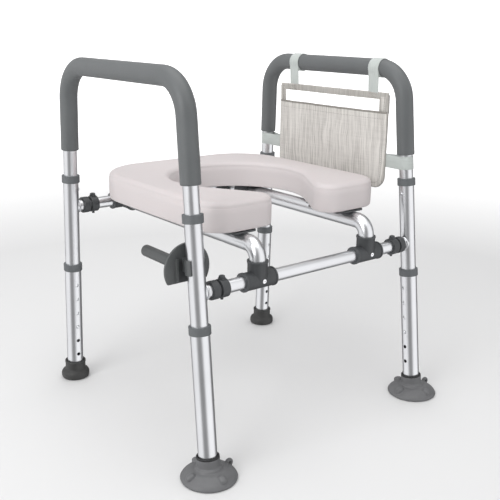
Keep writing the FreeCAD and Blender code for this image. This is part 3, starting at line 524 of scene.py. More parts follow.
def steel(name, colour, roughness):
    """Plated or spring steel with faint turning marks."""
    s = Shader(name)
    rings = s.noise(420.0, 3.0)
    tone = s.mix(rings, colour, tuple(min(1.0, 1.12 * c) for c in colour))
    rough = s.range(rings, roughness - 0.04, roughness + 0.08)
    normal = s.bump(rings, 0.08, 0.0001, s.edges(0.0003))
    return s.finish(Base_Color=tone, Metallic=1.0, Roughness=rough, Normal=normal)


def pad_skin():
    """Self-skinned polyurethane foam: soft, matt, very fine grain, faintly translucent."""
    s = Shader("pad_skin")
    clouds = s.noise(7.0, 3.0)
    grain = s.add("ShaderNodeTexVoronoi", {"Vector": s.place, "Scale": 1100.0}).outputs["Distance"]
    colour = s.mix(clouds, srgb(205, 198, 198), srgb(210, 203, 203))
    colour = s.mix(s.range(s.noise(260.0, 3.0), 0.0, 0.10), colour, srgb(192, 183, 183))
    normal = s.bump(grain, 0.10, 0.0002, s.bump(s.noise(45.0, 2.0), 0.08, 0.0010))
    roughness = s.range(s.noise(60.0, 3.0), 0.46, 0.56)
    return s.finish(Base_Color=colour, Roughness=roughness, Normal=normal, Specular_IOR_Level=0.42,
                    Subsurface_Weight=0.06, Subsurface_Radius=(0.006, 0.004, 0.004))


def rubber(name, dark, light, roughness):
    """Moulded rubber with flow marks and a dusty bloom."""
    s = Shader(name)
    bloom = s.noise(30.0, 5.0, rough=0.6)
    colour = s.mix(bloom, dark, light)
    height = s.noise(700.0, 2.0)
    normal = s.bump(height, 0.14, 0.0002, s.edges(0.0004))
    return s.finish(Base_Color=colour, Roughness=s.range(bloom, roughness, roughness + 0.12),
                    Normal=normal, Specular_IOR_Level=0.35)


def weave(s, threads_y, threads_z):
    """The height of a plain weave in the side frame's plane, from 0 to 1."""
    axes = s.add("ShaderNodeSeparateXYZ", {"Vector": s.place})
    rows = []
    for output, scale in ((axes.outputs["Y"], threads_y), (axes.outputs["Z"], threads_z)):
        rows.append(s.math("SINE", s.math("MULTIPLY", output, 2 * math.pi * scale)))
    both = s.math("MULTIPLY", rows[0], rows[1])
    return s.add("ShaderNodeMapRange", {"Value": both, "From Min": -1.0}).outputs["Result"]


def bag_cloth(name, light, dark, sheer):
    """Sheer linen-look mesh with slubby, wavering vertical threads and a painted highlight of lighter fold
    streaks.
    """
    s = Shader(name)
    slow = {"Vector": s.stretched((6.0, 9.0, 16.0)), "Scale": 1.0, "Detail": 2.0}
    sway = s.add("ShaderNodeTexNoise", slow).outputs["Color"]
    waver = s.add("ShaderNodeVectorMath", {0: sway, 3: 0.012}, operation="SCALE").outputs["Vector"]
    bent = s.add("ShaderNodeVectorMath", {0: s.place, 1: waver}, operation="ADD").outputs["Vector"]

    def threads_of(scale, detail, rough):
        stretched = s.add("ShaderNodeMapping", {"Vector": bent, "Scale": scale}).outputs["Vector"]
        return s.noise(1.0, detail, stretched, rough)

    slubs = threads_of((40.0, 430.0, 13.0), 4.0, 0.6)
    cross = threads_of((40.0, 22.0, 380.0), 2.0, 0.5)
    folds = s.noise(1.0, 2.0, s.stretched((10.0, 24.0, 9.0)))
    threads = s.math("ADD", s.math("MULTIPLY", slubs, 0.88), s.math("MULTIPLY", cross, 0.12))
    colour = s.ramp(threads, ((0.34, dark), (0.50, mixed(dark, light, 0.66)), (0.66, light)))
    # Painted highlight: lighter streaks where hanging folds would catch the light, blended towards the
    # light colour.
    colour = s.mix(s.ramp(folds, ((0.35, 0.0), (0.7, 0.5))), colour, light)
    height = s.math("ADD", weave(s, 700.0, 700.0), s.math("MULTIPLY", threads, 2.0))
    normal = s.bump(height, 0.3, 0.0004)
    solid = s.range(s.ramp(threads, ((0.40, 0.0), (0.56, 1.0))), 1.0 - sheer, 1.0)
    return s.finish(Base_Color=colour, Roughness=0.85, Normal=normal, Alpha=solid,
                    Sheen_Weight=0.2, Specular_IOR_Level=0.2)


def mixed(a, b, share):
    return tuple(x * (1 - share) + y * share for x, y in zip(a, b))


def webbing(name, ribs):
    """Pale woven elastic with ribs. ribs is the scale along x, y and z of the rib lines."""
    s = Shader(name)
    rib = s.noise(1.0, 2.0, s.stretched(ribs), 0.5)
    fuzz = s.noise(320.0, 4.0)
    colour = s.mix(rib, srgb(174, 180, 177), srgb(198, 203, 200))
    colour = s.mix(s.range(fuzz, 0.0, 0.16), colour, srgb(160, 166, 163))
    height = s.math("ADD", rib, s.math("MULTIPLY", weave(s, 900.0, 900.0), 0.4))
    return s.finish(Base_Color=colour, Roughness=0.8, Normal=s.bump(height, 0.4, 0.0004),
                    Sheen_Weight=0.3, Specular_IOR_Level=0.2)


def make_materials():
    grey = srgb(100, 103, 105)
    return {
        "legs": tube_metal("aluminium_legs", (700.0, 700.0, 5.0)),
        "bars": tube_metal("aluminium_bars", (5.0, 700.0, 700.0)),
        "bent": tube_metal("aluminium_bent", (260.0, 40.0, 260.0)),
        "foam": foam_rubber(),
        "collar": moulded_plastic("collar_plastic", srgb(84, 87, 89), grey, 0.50),
        "fitting": moulded_plastic("fitting_plastic", srgb(50, 52, 54), srgb(64, 66, 68), 0.46, 0.0009),
        "holder": moulded_plastic("holder_plastic", srgb(56, 58, 59), srgb(70, 72, 72), 0.38, 0.0008),
        "board": moulded_plastic("board_plastic", srgb(34, 35, 36), srgb(44, 45, 46), 0.6),
        "screw": steel("plated_screw", (0.80, 0.80, 0.82), 0.22),
        "spring": steel("spring_steel", (0.60, 0.61, 0.63), 0.28),
        "pad": pad_skin(),
        "cup": rubber("suction_rubber", srgb(96, 96, 98), srgb(114, 115, 116), 0.40),
        # A near-black ring round each foot collar's mouth.
        "lip": rubber("lip_rubber", srgb(38, 38, 39), srgb(50, 50, 51), 0.5),
        "tip": rubber("tip_rubber", srgb(52, 52, 52), srgb(68, 68, 67), 0.42),
        "cloth": bag_cloth("bag_cloth", srgb(220, 217, 212), srgb(186, 182, 177), 0.2),
        "binding": bag_cloth("bag_binding", srgb(184, 181, 176), srgb(146, 143, 138), 0.0),
        "thread": bag_cloth("bag_thread", srgb(150, 147, 141), srgb(116, 113, 108), 0.0),
        "strap": webbing("strap_webbing", (700.0, 700.0, 4.0)),
        "elastic": webbing("elastic_webbing", (30.0, 30.0, 620.0)),
    }


# ---------------------------------------------------------------- seat cushion

def horseshoe(inset, back_y):
    """Points round a horseshoe set in from the cushion's outline by the inset."""
    low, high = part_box("seat_cushion")
    half_width = high.x - inset
    front_y = low.y + inset
    back_r = BACK_CORNER_R - inset
    front_r = FRONT_CORNER_R - inset
    hole_r = OPENING_R + inset
    throat_r = max(0.004, THROAT_R - inset)
    hole = Vector((0, OPENING_Y))
    apex = Vector((THROAT_X + inset, front_y))
    reach = apex - hole
    turn = math.atan2(reach.y, reach.x) + math.acos(hole_r / reach.length)
    touch = hole + Vector((math.cos(turn), math.sin(turn))) * hole_r
    inward = (touch - apex).normalized()
    half = math.acos(inward.x) / 2
    front_touch = apex + Vector((throat_r / math.tan(half), 0))
    side_touch = apex + inward * (throat_r / math.tan(half))
    throat = apex + (inward + Vector((1, 0))).normalized() * (throat_r / math.sin(half))
    shoulder = Vector((half_width - back_r, back_y - back_r))
    corner = Vector((half_width - front_r, front_y + front_r))

    def arc(centre, radius, start, end, count):
        angles = [start + (end - start) * k / count for k in range(count)]
        return [centre + Vector((math.cos(a), math.sin(a))) * radius for a in angles]

    def line(start, end, count):
        return [start.lerp(end, k / count) for k in range(count)]

    quarter = math.pi / 2
    from_front = math.atan2(front_touch.y - throat.y, front_touch.x - throat.x)
    to_side = math.atan2(side_touch.y - throat.y, side_touch.x - throat.x)
    if to_side > from_front:
        to_side -= 2 * math.pi
    half_path = line(Vector((0, back_y)), shoulder + Vector((0, back_r)), 12)
    half_path += arc(shoulder, back_r, quarter, 0, 22)
    half_path += line(shoulder + Vector((back_r, 0)), corner + Vector((front_r, 0)), 28)
    half_path += arc(corner, front_r, 0, -quarter, 14)
    half_path += line(corner - Vector((0, front_r)), front_touch, 8)
    half_path += arc(throat, throat_r, from_front, to_side, 12)
    half_path += line(side_touch, touch, 7)
    half_path += arc(hole, hole_r, turn, quarter, 36)
    half_path.append(hole + Vector((0, hole_r)))
    mirrored = [Vector((-p.x, p.y)) for p in half_path[1:-1]]
    return half_path + mirrored[::-1]


def distance_to(points, outline):
    """Each 2-D point's distance to a closed outline."""
    starts = np.array(outline)
    ends = np.roll(starts, -1, axis=0)
    along = ends - starts
    gaps = points[:, None, :] - starts[None, :, :]
    share = np.clip((gaps * along).sum(2) / (along * along).sum(1), 0, 1)
    return np.linalg.norm(gaps - share[:, :, None] * along, axis=2).min(1)


def crown_height(distance):
    """Height of the cushion's top above its side wall, by distance in from the outline."""
    inside = np.clip((TOP_EDGE_WIDE - distance) / TOP_EDGE_WIDE, 0, 1)
    edge = TOP_EDGE_HIGH * np.sqrt(1 - inside ** 2)
    return edge + CROWN * (1 - np.exp(-distance / CROWN_REACH))


def fill_with_grid(bm, loop, step):
    """Fills a flat loop and cuts it into a grid of near-square faces."""
    faces = [bm.faces.new(loop)]
    xs = [v.co.x for v in loop]
    ys = [v.co.y for v in loop]
    for low, high, axis in ((min(xs), max(xs), X), (min(ys), max(ys), Y)):
        for k in range(1, int((high - low) / step)):
            geometry = set(faces)
            for face in faces:
                geometry.update(face.edges)
                geometry.update(face.verts)
            cut = bmesh.ops.bisect_plane(
                bm, geom=list(geometry), plane_co=axis * (low + k * step), plane_no=axis, dist=1e-6
            )
            faces = [item for item in cut["geom"] if isinstance(item, bmesh.types.BMFace)]
    return {vertex for face in faces for vertex in face.verts}


def seat_cushion(materials):
    """A crowned pad with a parting crease round its wall and a recess for the board below."""
    low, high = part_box("seat_cushion")
    wall_top = high.z - TOP_EDGE_HIGH
    outline = horseshoe(0, high.y)
    pocket_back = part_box("seat_board")[1].y + 0.001
    bm = bmesh.new()

    def ring(inset, z, back=None):
        return [Vector((p.x, p.y, z)) for p in horseshoe(inset, back or high.y - inset)]

    lower = [
        ring(POCKET_INSET, low.z + POCKET_DEPTH, pocket_back),
        ring(POCKET_INSET, low.z, pocket_back),
        ring(0.012, low.z),
    ]
    for degrees in (0, 30, 60, 90):
        angle = math.radians(degrees)
        short, up = WALL_FOOT_R * (1 - math.sin(angle)), WALL_FOOT_R * (1 - math.cos(angle))
        lower.append(ring(short, low.z + up))
    wall_low = low.z + WALL_FOOT_R
    for share in (0.25, 0.5, 0.75):
        bow = -0.0004 * math.sin(share * math.pi)
        lower.append(ring(bow, wall_low + (wall_top - wall_low) * share))
    crease = ((0, -0.0014), (0.0007, -0.0006), (0.0010, 0.0003))
    lower += [ring(inset, wall_top + rise) for inset, rise in crease]
    upper = [ring(width, high.z) for width in TOP_RINGS]
    loops = add_rings(bm, lower + upper)
    bm.faces.new(loops[0])
    top = fill_with_grid(bm, loops[-1], 0.008)
    for loop in loops[len(lower):]:
        top.update(loop)
    top = list(top)
    flat = np.array([(v.co.x, v.co.y) for v in top])
    heights = crown_height(distance_to(flat, [tuple(p) for p in outline]))
    for vertex, height in zip(top, heights):
        vertex.co.z = wall_top + height
    return mesh_piece("seat_cushion_pad", bm, materials["pad"], "centre_frame",
                      ("seat_cushion",), sharp=50)


# ---------------------------------------------------------------- foam grips

def foam_grip(side, materials):
    """A foam sleeve along the handle, with rounded ends and soft creases inside its bends."""
    node = "foam_grip_" + side
    low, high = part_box(node)
    top = high.z - FOAM_R
    bottom = low.z + FOAM_R * abs(leg_up("front", side).y)
    corners = [
        leg_point("front", side, bottom), leg_point("front", side, top),
        leg_point("rear", side, top), leg_point("rear", side, bottom),
    ]
    path = rounded_path(corners, FOAM_BEND_R, FOAM_STEP)
    plane = (corners[1] - corners[0]).cross(corners[2] - corners[1]).normalized()
    frames = path_frames(path, plane)
    lengths = np.cumsum([0] + [(b - a).length for a, b in zip(path, path[1:])])
    total = lengths[-1]
    bm = bmesh.new()
    rings = []

    def ring(point, across, radius, wrinkle=0.0):
        points = []
        for k in range(FOAM_AROUND):
            angle = 2 * math.pi * k / FOAM_AROUND
            out = across * math.cos(angle) + plane * math.sin(angle)
            place = point + out * radius
            soft = noise.noise(place * 38) * 0.00016 + noise.noise(place * 120) * 0.00006
            inner = max(0.0, math.cos(angle)) ** 3
            uneven = soft if radius > FOAM_BORE_R else 0
            points.append(point + out * (radius + uneven - wrinkle * inner))
        return points

    for k, (point, _, across) in enumerate(frames):
        if k in (0, len(frames) - 1):
            continue
        bend = frames[k - 1][1].angle(frames[k + 1][1]) / (lengths[k + 1] - lengths[k - 1])
        wave = 0.5 + 0.5 * math.sin(lengths[k] / CREASE_PITCH * 2 * math.pi)
        wrinkle = CREASE_DEPTH * wave * min(1.0, bend * FOAM_BEND_R)
        near = min(lengths[k], total - lengths[k])
        if near < FOAM_EDGE_R + 0.001:
            continue
        rings.append(ring(point, across, FOAM_R, wrinkle))
    ends = []
    for frame_at, inward in ((frames[0], frames[0][1]), (frames[-1], -frames[-1][1])):
        point, _, across = frame_at
        cap = [ring(point + inward * FOAM_MOUTH, across, FOAM_BORE_R), ring(point, across, FOAM_BORE_R),
               ring(point, across, FOAM_BORE_R + 0.0006)]
        for degrees in (0, 22, 45, 68, 90):
            angle = math.radians(degrees)
            radius = FOAM_R - FOAM_EDGE_R * (1 - math.sin(angle))
            cap.append(ring(point + inward * FOAM_EDGE_R * (1 - math.cos(angle)), across, radius))
        ends.append(cap)
    add_rings(bm, ends[0] + rings + ends[1][::-1])
    for cap in ends:
        add_rings(bm, [cap[0], [p + (cap[0][0] - cap[1][0]) * 0.2 for p in cap[0]]])
    return mesh_piece("foam_sleeve_" + side, bm, materials["foam"], "side_" + side, (node,), 60)


# ---------------------------------------------------------------- feet

def bent_place(start, up, low, high):
    """Ring places that turn from upright at the height low to the leg's axis at the height high."""
    def place(height):
        share = max(0.0, min(1.0, (height - low) / (high - low)))
        share = share * share * (3 - 2 * share)
        centre = start + Z * height + (up * (height / up.z) - Z * height) * share
        return centre, Z.lerp(up, share).normalized()
    return place


def blob(bm, centre, axes, sizes, power=2.6, count=24):
    """A rounded block: a superellipsoid with its own axes and half sizes."""
    def bent(value):
        return math.copysign(abs(value) ** (2 / power), value)
    rings = []
    for j in range(1, count // 2):
        tilt = math.pi * j / (count // 2) - math.pi / 2
        ring = []
        for k in range(count):
            turn = 2 * math.pi * k / count
            parts = (bent(math.cos(tilt)) * bent(math.cos(turn)),
                     bent(math.cos(tilt)) * bent(math.sin(turn)), bent(math.sin(tilt)))
            ring.append(centre + sum((a * s * p for a, s, p in zip(axes, sizes, parts)), Vector()))
        rings.append(ring)
    add_rings(bm, rings, cap_start=True, cap_end=True)


def suction_foot(side, materials):
    """A soft cup on the leg's end: a dome, a collar, three finger lugs and a holed pull tab."""
    node = "suction_foot_" + side
    foot = leg_point("front", side, 0)
    up = leg_up("front", side)
    place = bent_place(foot, up, 0.014, 0.024)
    outer = rounded([
        (0.0, 0.0055), (0.030, 0.0045), (0.0430, 0.0004, 0.0015), (0.0475, 0.0, 0.0006),
        (0.0475, 0.0030, 0.0012), (0.0445, 0.0075, 0.010), (0.0375, 0.0125, 0.012),
        (0.0285, 0.0166, 0.006), (0.0226, 0.0176, 0.0006), (0.0222, 0.0202, 0.0012),
        (0.0197, 0.0216, 0.0012), (0.0196, 0.0300, 0.01),
        (0.0200, COLLAR_TOP, 0.0014), (0.0160, COLLAR_TOP), (0.0160, 0.0089), (0.0, 0.0089),
    ])
    bm = bmesh.new()
    lathe(bm, [tuple(p) for p in outer], place, 96)
    for direction in (-X, Y, -Y):
        across = Z.cross(direction)
        slope = (direction - Z * 0.42).normalized()
        over = across.cross(slope) * -1
        if over.z < 0:
            over = -over
        blob(bm, foot + direction * LUG_OUT + Z * LUG_UP, (slope, across, over), LUG_HALF_SIZES)
    tab = foot + X * TAB_OUT + Z * TAB_UP
    rings = []
    for k in range(40):
        turn = 2 * math.pi * k / 40
        out = X * math.cos(turn) + Z * math.sin(turn)
        section = [(math.cos(a), math.sin(a)) for a in (2 * math.pi * n / 16 for n in range(16))]
        rings.append([tab + out * (0.0048 + 0.0028 * c) + Y * 0.0036 * s for c, s in section])
    add_rings(bm, rings, closed_along=True)
    bmesh.ops.recalc_face_normals(bm, faces=bm.faces)
    piece = mesh_piece("suction_cup_" + side, bm, materials["cup"], "leg_front_" + side,
                       (node,), 60)
    remesh = piece.modifiers.new("merge", "REMESH")
    remesh.mode = "VOXEL"
    remesh.voxel_size = VOXEL
    soften = piece.modifiers.new("soften", "SMOOTH")
    soften.factor = 0.5
    soften.iterations = 2
    evaluated(piece)
    piece.data.materials.clear()
    piece.data.materials.append(materials["cup"])
    piece.data.shade_smooth()
    foot_lip("suction_cup_lip_" + side, place, COLLAR_TOP, materials["lip"], "leg_front_" + side)
    return piece


def foot_lip(name, place, top, material, body):
    """A near-black bead round the mouth of a foot's collar."""
    profile = rounded([
        (LOWER_TUBE_R + 0.0001, top - 0.004), (0.0186, top - 0.004), (0.0194, top + 0.0002, 0.0008),
        (0.0186, top + 0.0016, 0.0009), (0.0168, top + 0.0012, 0.0006),
        (LOWER_TUBE_R + 0.0001, top - 0.0006), (LOWER_TUBE_R + 0.0001, top - 0.004),
    ], 4)
    bm = bmesh.new()
    lathe(bm, [tuple(p) for p in profile[:-1]], place, 72, closed=True)
    return mesh_piece(name, bm, material, body, (), 50)


def rubber_tip(side, materials):
    """A flared rubber tip with a foot bead, a rim bead and grooves under it."""
    node = "rubber_tip_" + side
    place = bent_place(leg_point("rear", side, 0), leg_up("rear", side), 0.014, 0.022)
    grooves = []
    for radius in (0.005, 0.011, 0.017):
        steps = ((0.0, 0.0), (0.0003, 0.0012), (0.0022, 0.0012), (0.0025, 0.0))
        grooves += [(radius + out, height) for out, height in steps]
    profile = rounded([(0.0, 0.0)] + grooves + [
        (0.0258, 0.0, 0.0012), (0.0272, 0.0022, 0.001), (0.0268, 0.0031, 0.0004),
        (0.0280, 0.0042, 0.0009), (0.0281, 0.0105, 0.004), (0.0262, 0.0150, 0.004), (0.0213, 0.0182, 0.002),
        (0.0202, 0.0210, 0.004), (0.0200, 0.0318, 0.001), (0.0208, 0.0328, 0.0006),
        (0.0208, 0.0366, 0.0012), (0.0186, 0.0372, 0.0010), (0.0161, 0.0352), (0.0161, 0.0088),
        (0.0, 0.0088),
    ])
    bm = bmesh.new()
    lathe(bm, [tuple(p) for p in profile], place, 96)
    body = "leg_rear_" + side
    return mesh_piece("tip_boot_" + side, bm, materials["tip"], body, (node,), 38)


# ---------------------------------------------------------------- bag

def bag_frame():
    """The bag's edges in the right side frame's plane, as a dict."""
    low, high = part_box("bag_back")
    return {
        "front": low.y, "rear": high.y, "bottom": low.z, "top": high.z,
        "window_front": low.y + WINDOW_MARGIN_FRONT, "window_rear": high.y - WINDOW_MARGIN_REAR,
        "window_top": high.z - WINDOW_TOP_DROP, "pocket_top": high.z - POCKET_TOP_DROP,
    }


def bag_outline(edges, top, inset=0.0):
    """The bag's outline from its top rear corner round the bottom, as (y, z) points."""
    corners = [
        (edges["rear"] - inset, top),
        (edges["rear"] - inset, edges["bottom"] + inset, BAG_CORNER_R - inset),
        (edges["front"] + inset, edges["bottom"] + inset, BAG_CORNER_R - inset),
        (edges["front"] + inset, top),
    ]
    return rounded(corners, 8)


def towards_seat():
    """The way the bag's front faces."""
    return -(on_side("right", 1, 0, 0) - on_side("right", 0, 0, 0)).normalized()


def sag(y, z, edges):
    """How far the hanging back sheet waves out of its plane."""
    across = (y - edges["front"]) / (edges["rear"] - edges["front"])
    down = (edges["top"] - z) / (edges["top"] - edges["bottom"])
    sway = math.sin(across * 9.5 + 0.7) * 0.0011 + math.sin(across * 19 + down * 3) * 0.0005
    return BAG_PLANE + sway * min(1.0, 4 * across * (1 - across) + 0.25) + 0.0006 * math.sin(down * 5)


def sheet_grid(edges, top, inset):
    """A flat sheet in the y-z plane as a grid, with the bag's rounded bottom corners."""
    front, rear = edges["front"] + inset, edges["rear"] - inset
    bottom, corner = edges["bottom"] + inset, BAG_CORNER_R - inset
    columns = round((rear - front) / BAG_CELL)
    rows = round((top - bottom) / BAG_CELL)
    bm = bmesh.new()
    lines = []
    for i in range(columns + 1):
        y = front + (rear - front) * i / columns
        short = max(0.0, corner - min(y - front, rear - y))
        low = bottom + corner - math.sqrt(max(0.0, corner ** 2 - short ** 2))
        lines.append([bm.verts.new((y, low + (top - low) * j / rows, 0)) for j in range(rows + 1)])
    for a, b in zip(lines, lines[1:]):
        for j in range(rows):
            bm.faces.new((a[j], b[j], b[j + 1], a[j + 1]))
    return bm


def raise_sheet(bm, shape):
    """Moves each flat vertex (y, z) to shape(y, z), a place in the right side frame."""
    for vertex in bm.verts:
        y, z = vertex.co.x, vertex.co.y
        vertex.co = on_side("right", shape(y, z), y, z)


def thickened(bm, thick):
    """Gives a sheet its thickness."""
    bmesh.ops.recalc_face_normals(bm, faces=bm.faces)
    bmesh.ops.solidify(bm, geom=list(bm.faces) + list(bm.edges) + list(bm.verts), thickness=thick)


def bag_back(materials):
    """The back sheet with its window."""
    edges = bag_frame()
    bm = sheet_grid(edges, edges["top"], 0.0)
    window = (edges["window_front"], edges["window_rear"], edges["pocket_top"], edges["window_top"])
    for value, axis in zip(window, (X, X, Y, Y)):
        geometry = list(bm.faces) + list(bm.edges) + list(bm.verts)
        bmesh.ops.bisect_plane(bm, geom=geometry, plane_co=axis * value, plane_no=axis, dist=1e-6)
    inside = []
    for face in bm.faces:
        middle = face.calc_center_median()
        if window[0] < middle.x < window[1] and window[2] < middle.y < window[3]:
            inside.append(face)
    bmesh.ops.delete(bm, geom=inside, context="FACES")
    raise_sheet(bm, lambda y, z: sag(y, z, edges))
    thickened(bm, BAG_THICK)
    return mesh_piece("bag_sheet", bm, materials["cloth"], "side_right", ("bag_back",), 60)


def pocket_depth(y, z, edges):
    """How far the pocket stands off the back sheet, towards the seat."""
    across = (y - edges["front"]) / (edges["rear"] - edges["front"])
    up = max(0.0, min(1.0, (z - edges["bottom"]) / (edges["pocket_top"] - edges["bottom"])))
    side = max(0.0, min(1.0, 7.0 * across * (1 - across))) ** 0.6
    belly = math.sin(math.pi * min(1.0, 0.12 + 0.86 * (1 - up) ** 0.8)) ** 0.8
    folds = 0.0007 * math.sin(across * 31 + 2.2 * math.sin(up * 2.4)) * (0.4 + 0.6 * up)
    folds += 0.0005 * math.sin(across * 57 + up * 4)
    mouth = 0.0040 * up ** 3 * side
    return 0.0018 + side * (POCKET_BULGE * 0.8 * belly * (1 - 0.35 * up)) + mouth + folds * side


def bag_pocket(materials):
    """The pouch in front of the back sheet, sewn down its sides and along its bottom."""
    edges = bag_frame()
    bm = sheet_grid(edges, edges["pocket_top"], 0.001)
    raise_sheet(bm, lambda y, z: sag(y, z, edges) - pocket_depth(y, z, edges))
    thickened(bm, BAG_THICK)
    return mesh_piece("bag_pouch", bm, materials["cloth"], "side_right", ("bag_pocket",), 60)


def band(bm, points, shape, width, thick):
    """A folded tape along (y, z) points. shape(y, z) is the cloth's offset beneath it."""
    rings = []
    count = len(points)
    for k, point in enumerate(points):
        before = Vector(points[max(0, k - 1)])
        after = Vector(points[min(count - 1, k + 1)])
        along = (after - before).normalized()
        side = Vector((-along.y, along.x))
        ring = []
        for across, lift in ((-0.5, 0.0), (-0.42, 0.5), (0.0, 0.6), (0.42, 0.5), (0.5, 0.0),
                             (0.42, -0.5), (0.0, -0.6), (-0.42, -0.5)):
            y = point[0] + side.x * width * across
            z = point[1] + side.y * width * across
            ring.append(on_side("right", shape(point[0], point[1]) - lift * thick, y, z))
        rings.append(ring)
    add_rings(bm, rings, cap_start=True, cap_end=True)


def spaced(points, step):
    """Evenly refined 2-D points along a polyline."""
    path = [Vector(points[0])]
    for a, b in zip(points, points[1:]):
        path += straight(Vector(a), Vector(b), step)
    return path


def bag_trim(materials):
    """Bindings round the bag, the window and the pocket's mouth, with their stitches."""
    edges = bag_frame()
    half = TAPE_WIDTH / 2

    def back(y, z):
        return sag(y, z, edges) - 0.0002

    def front(y, z):
        return sag(y, z, edges) - pocket_depth(y, z, edges)

    def rim(y, z):
        return (back(y, z) + front(y, z)) / 2 if z < edges["pocket_top"] else back(y, z)

    def across_bag(short, z):
        return [(edges["front"] + short, z), (edges["rear"] - short, z)]

    bm = bmesh.new()
    outer = bag_outline(edges, edges["top"] - half, half * 0.7)
    outer += [Vector((edges["front"] + half * 0.7, edges["top"] - half))]
    band(bm, spaced(outer, 0.004), rim, TAPE_WIDTH, 0.0034)
    top_z = edges["top"] - half
    band(bm, spaced(across_bag(0.001, top_z), 0.004), back, TAPE_WIDTH, 0.0026)
    window_front, window_rear = edges["window_front"] - 0.003, edges["window_rear"] + 0.003
    window_top = edges["window_top"] + 0.003
    window = [
        (window_front, edges["pocket_top"]), (window_front, window_top),
        (window_rear, window_top), (window_rear, edges["pocket_top"]),
    ]
    for a, b in zip(window, window[1:]):
        band(bm, spaced([a, b], 0.004), back, 0.006, 0.0024)
    mesh_piece("bag_binding", bm, materials["binding"], "side_right", (), 50)

    cord = bmesh.new()
    band(cord, spaced(across_bag(0.001, edges["pocket_top"]), 0.004), front, 0.0042, 0.0034)
    mesh_piece("bag_mouth_hem", cord, materials["thread"], "side_right", (), 50)

    stitches = bmesh.new()
    outward = towards_seat()
    lines = [
        (bag_outline(edges, edges["top"] - half, half * 1.9), rim, 0.0026),
        (across_bag(0.006, edges["top"] - 0.0105), back, 0.0010),
        (across_bag(0.008, edges["pocket_top"] - 0.012), front, 0.0010),
    ]
    for points, shape, lift in lines:
        path = [on_side("right", shape(p.x, p.y) - lift, p.x, p.y) for p in spaced(points, 0.004)]
        add_stitches(stitches, path, outward)
    return mesh_piece("bag_stitches", stitches, materials["thread"], "side_right", (), 60)


def bag_straps(materials):
    """Two straps, each sewn round the foam, with a tail that hangs down behind the bag's top edge."""
    edges = bag_frame()
    foam_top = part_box("foam_grip_right")[1].z - FOAM_R
    straps = bmesh.new()
    stitches = bmesh.new()
    outward = towards_seat()
    front_strap = True
    for _, high in sorted(solids_of("bag_straps"), key=lambda ends: ends[0].y):
        middle = high.y - STRAP_WIDTH / 2 - 0.0002
        radius = FOAM_R + 0.0004 + STRAP_THICK / 2
        droop = 0.0006 if front_strap else 0.0
        front_strap = False
        path = []
        for degrees in range(-174, 181, 6):
            angle = math.radians(degrees)
            path.append((radius * math.cos(angle), foam_top - droop + radius * math.sin(angle)))
        foot = edges["top"] - STRAP_TAIL
        start = path[-1]
        behind = BAG_PLANE + 0.0020
        for share in (0.15, 0.3, 0.45, 0.6, 0.75, 0.9, 1.0):
            z = start[1] * (1 - share) + foot * share
            slack = 0.0008 * math.sin(share * 2 * math.pi)
            path.append((start[0] * (1 - share) + behind * share + slack, z))
        ribbon = [on_side("right", x, middle, z) for x, z in path]
        add_ribbon(straps, ribbon, Y, STRAP_WIDTH, STRAP_THICK)
        half = STRAP_WIDTH / 2 - 0.004
        face = BAG_PLANE - 0.0022
        low_z = foot + 0.0015
        high_z = foot + 0.009
        square = [
            (-half, low_z), (half, low_z), (half, high_z),
            (-half, high_z), (-half, low_z), (half, high_z),
        ]
        path = [on_side("right", face, middle + y, z) for y, z in square]
        for a, b in zip(path, path[1:]):
            add_stitches(stitches, [a, b], outward)
    mesh_piece("bag_strap_stitches", stitches, materials["thread"], "side_right", (), 60)
    return mesh_piece("bag_strap_webbing", straps, materials["strap"], "side_right", ("bag_straps",),
                      50)


def bag_elastics(materials):
    """An elastic loop round each handle tube, sewn to the bag's side edge."""
    edges = bag_frame()
    low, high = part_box("bag_elastics")
    middle = (low.z + high.z) / 2
    bm = bmesh.new()
    for end, edge in (("front", edges["front"]), ("rear", edges["rear"])):
        centre = leg_point(end, "right", middle)
        up = leg_up(end, "right")
        inward = 0.008 if end == "front" else -0.008
        sewn = on_side("right", BAG_PLANE + 0.0014, edge + inward, middle)
        toward = (sewn - centre) - up * (sewn - centre).dot(up)
        reach = toward.length
        toward.normalize()
        across = up.cross(toward)
        radius = HANDLE_TUBE_R + 0.0002 + STRAP_THICK / 2
        touch = math.acos(radius / reach)
        path = []
        for k in range(33):
            angle = touch + (2 * math.pi - 2 * touch) * k / 32
            path.append(centre + (toward * math.cos(angle) + across * math.sin(angle)) * radius)
        for share in (0.2, 0.4, 0.6, 0.8, 1.0):
            path.append(path[32].lerp(sewn - across * 0.0007, share))
        for share in (1.0, 0.8, 0.6, 0.4, 0.2):
            path.append(path[0].lerp(sewn + across * 0.0007, share))
        add_ribbon(bm, path, up, ELASTIC_WIDTH, STRAP_THICK, closed=True)
    return mesh_piece("bag_elastic_webbing", bm, materials["elastic"], "side_right", ("bag_elastics",),
                      50)


# ---------------------------------------------------------------- CAD nodes' finishes

def finish_cad_nodes(materials):
    """Gives every CAD node that stays its own finish."""
    finishes = (
        ("front_crossbar", "bars"), ("rear_crossbar", "bars"), ("width_tube", "bars"),
        ("seat_tube", "bent"), ("handle_tube", "legs"), ("mid_tube", "legs"), ("lower_tube", "legs"),
        ("upper_collars", "collar"), ("lower_collar", "collar"),
        ("tee_screws", "screw"), ("seat_clip_screws", "screw"), ("tee_", "fitting"),
        ("lock_collars", "fitting"), ("lock_pin", "fitting"), ("stub_caps", "fitting"),
        ("seat_clips", "fitting"), ("seat_board", "board"), ("paper_", "holder"),
        ("leg_button", "spring"), ("handle_button", "spring"),
        ("seat_cushion", "pad"), ("foam_grip", "foam"), ("suction_foot", "cup"), ("rubber_tip", "tip"),
        ("bag_straps", "strap"), ("bag_elastics", "elastic"), ("bag_", "cloth"),
    )
    for name, node in frame["nodes"].items():
        key = next(finish for start, finish in finishes if name.startswith(start))
        node.data.materials.clear()
        node.data.materials.append(materials[key])


# ---------------------------------------------------------------- stage

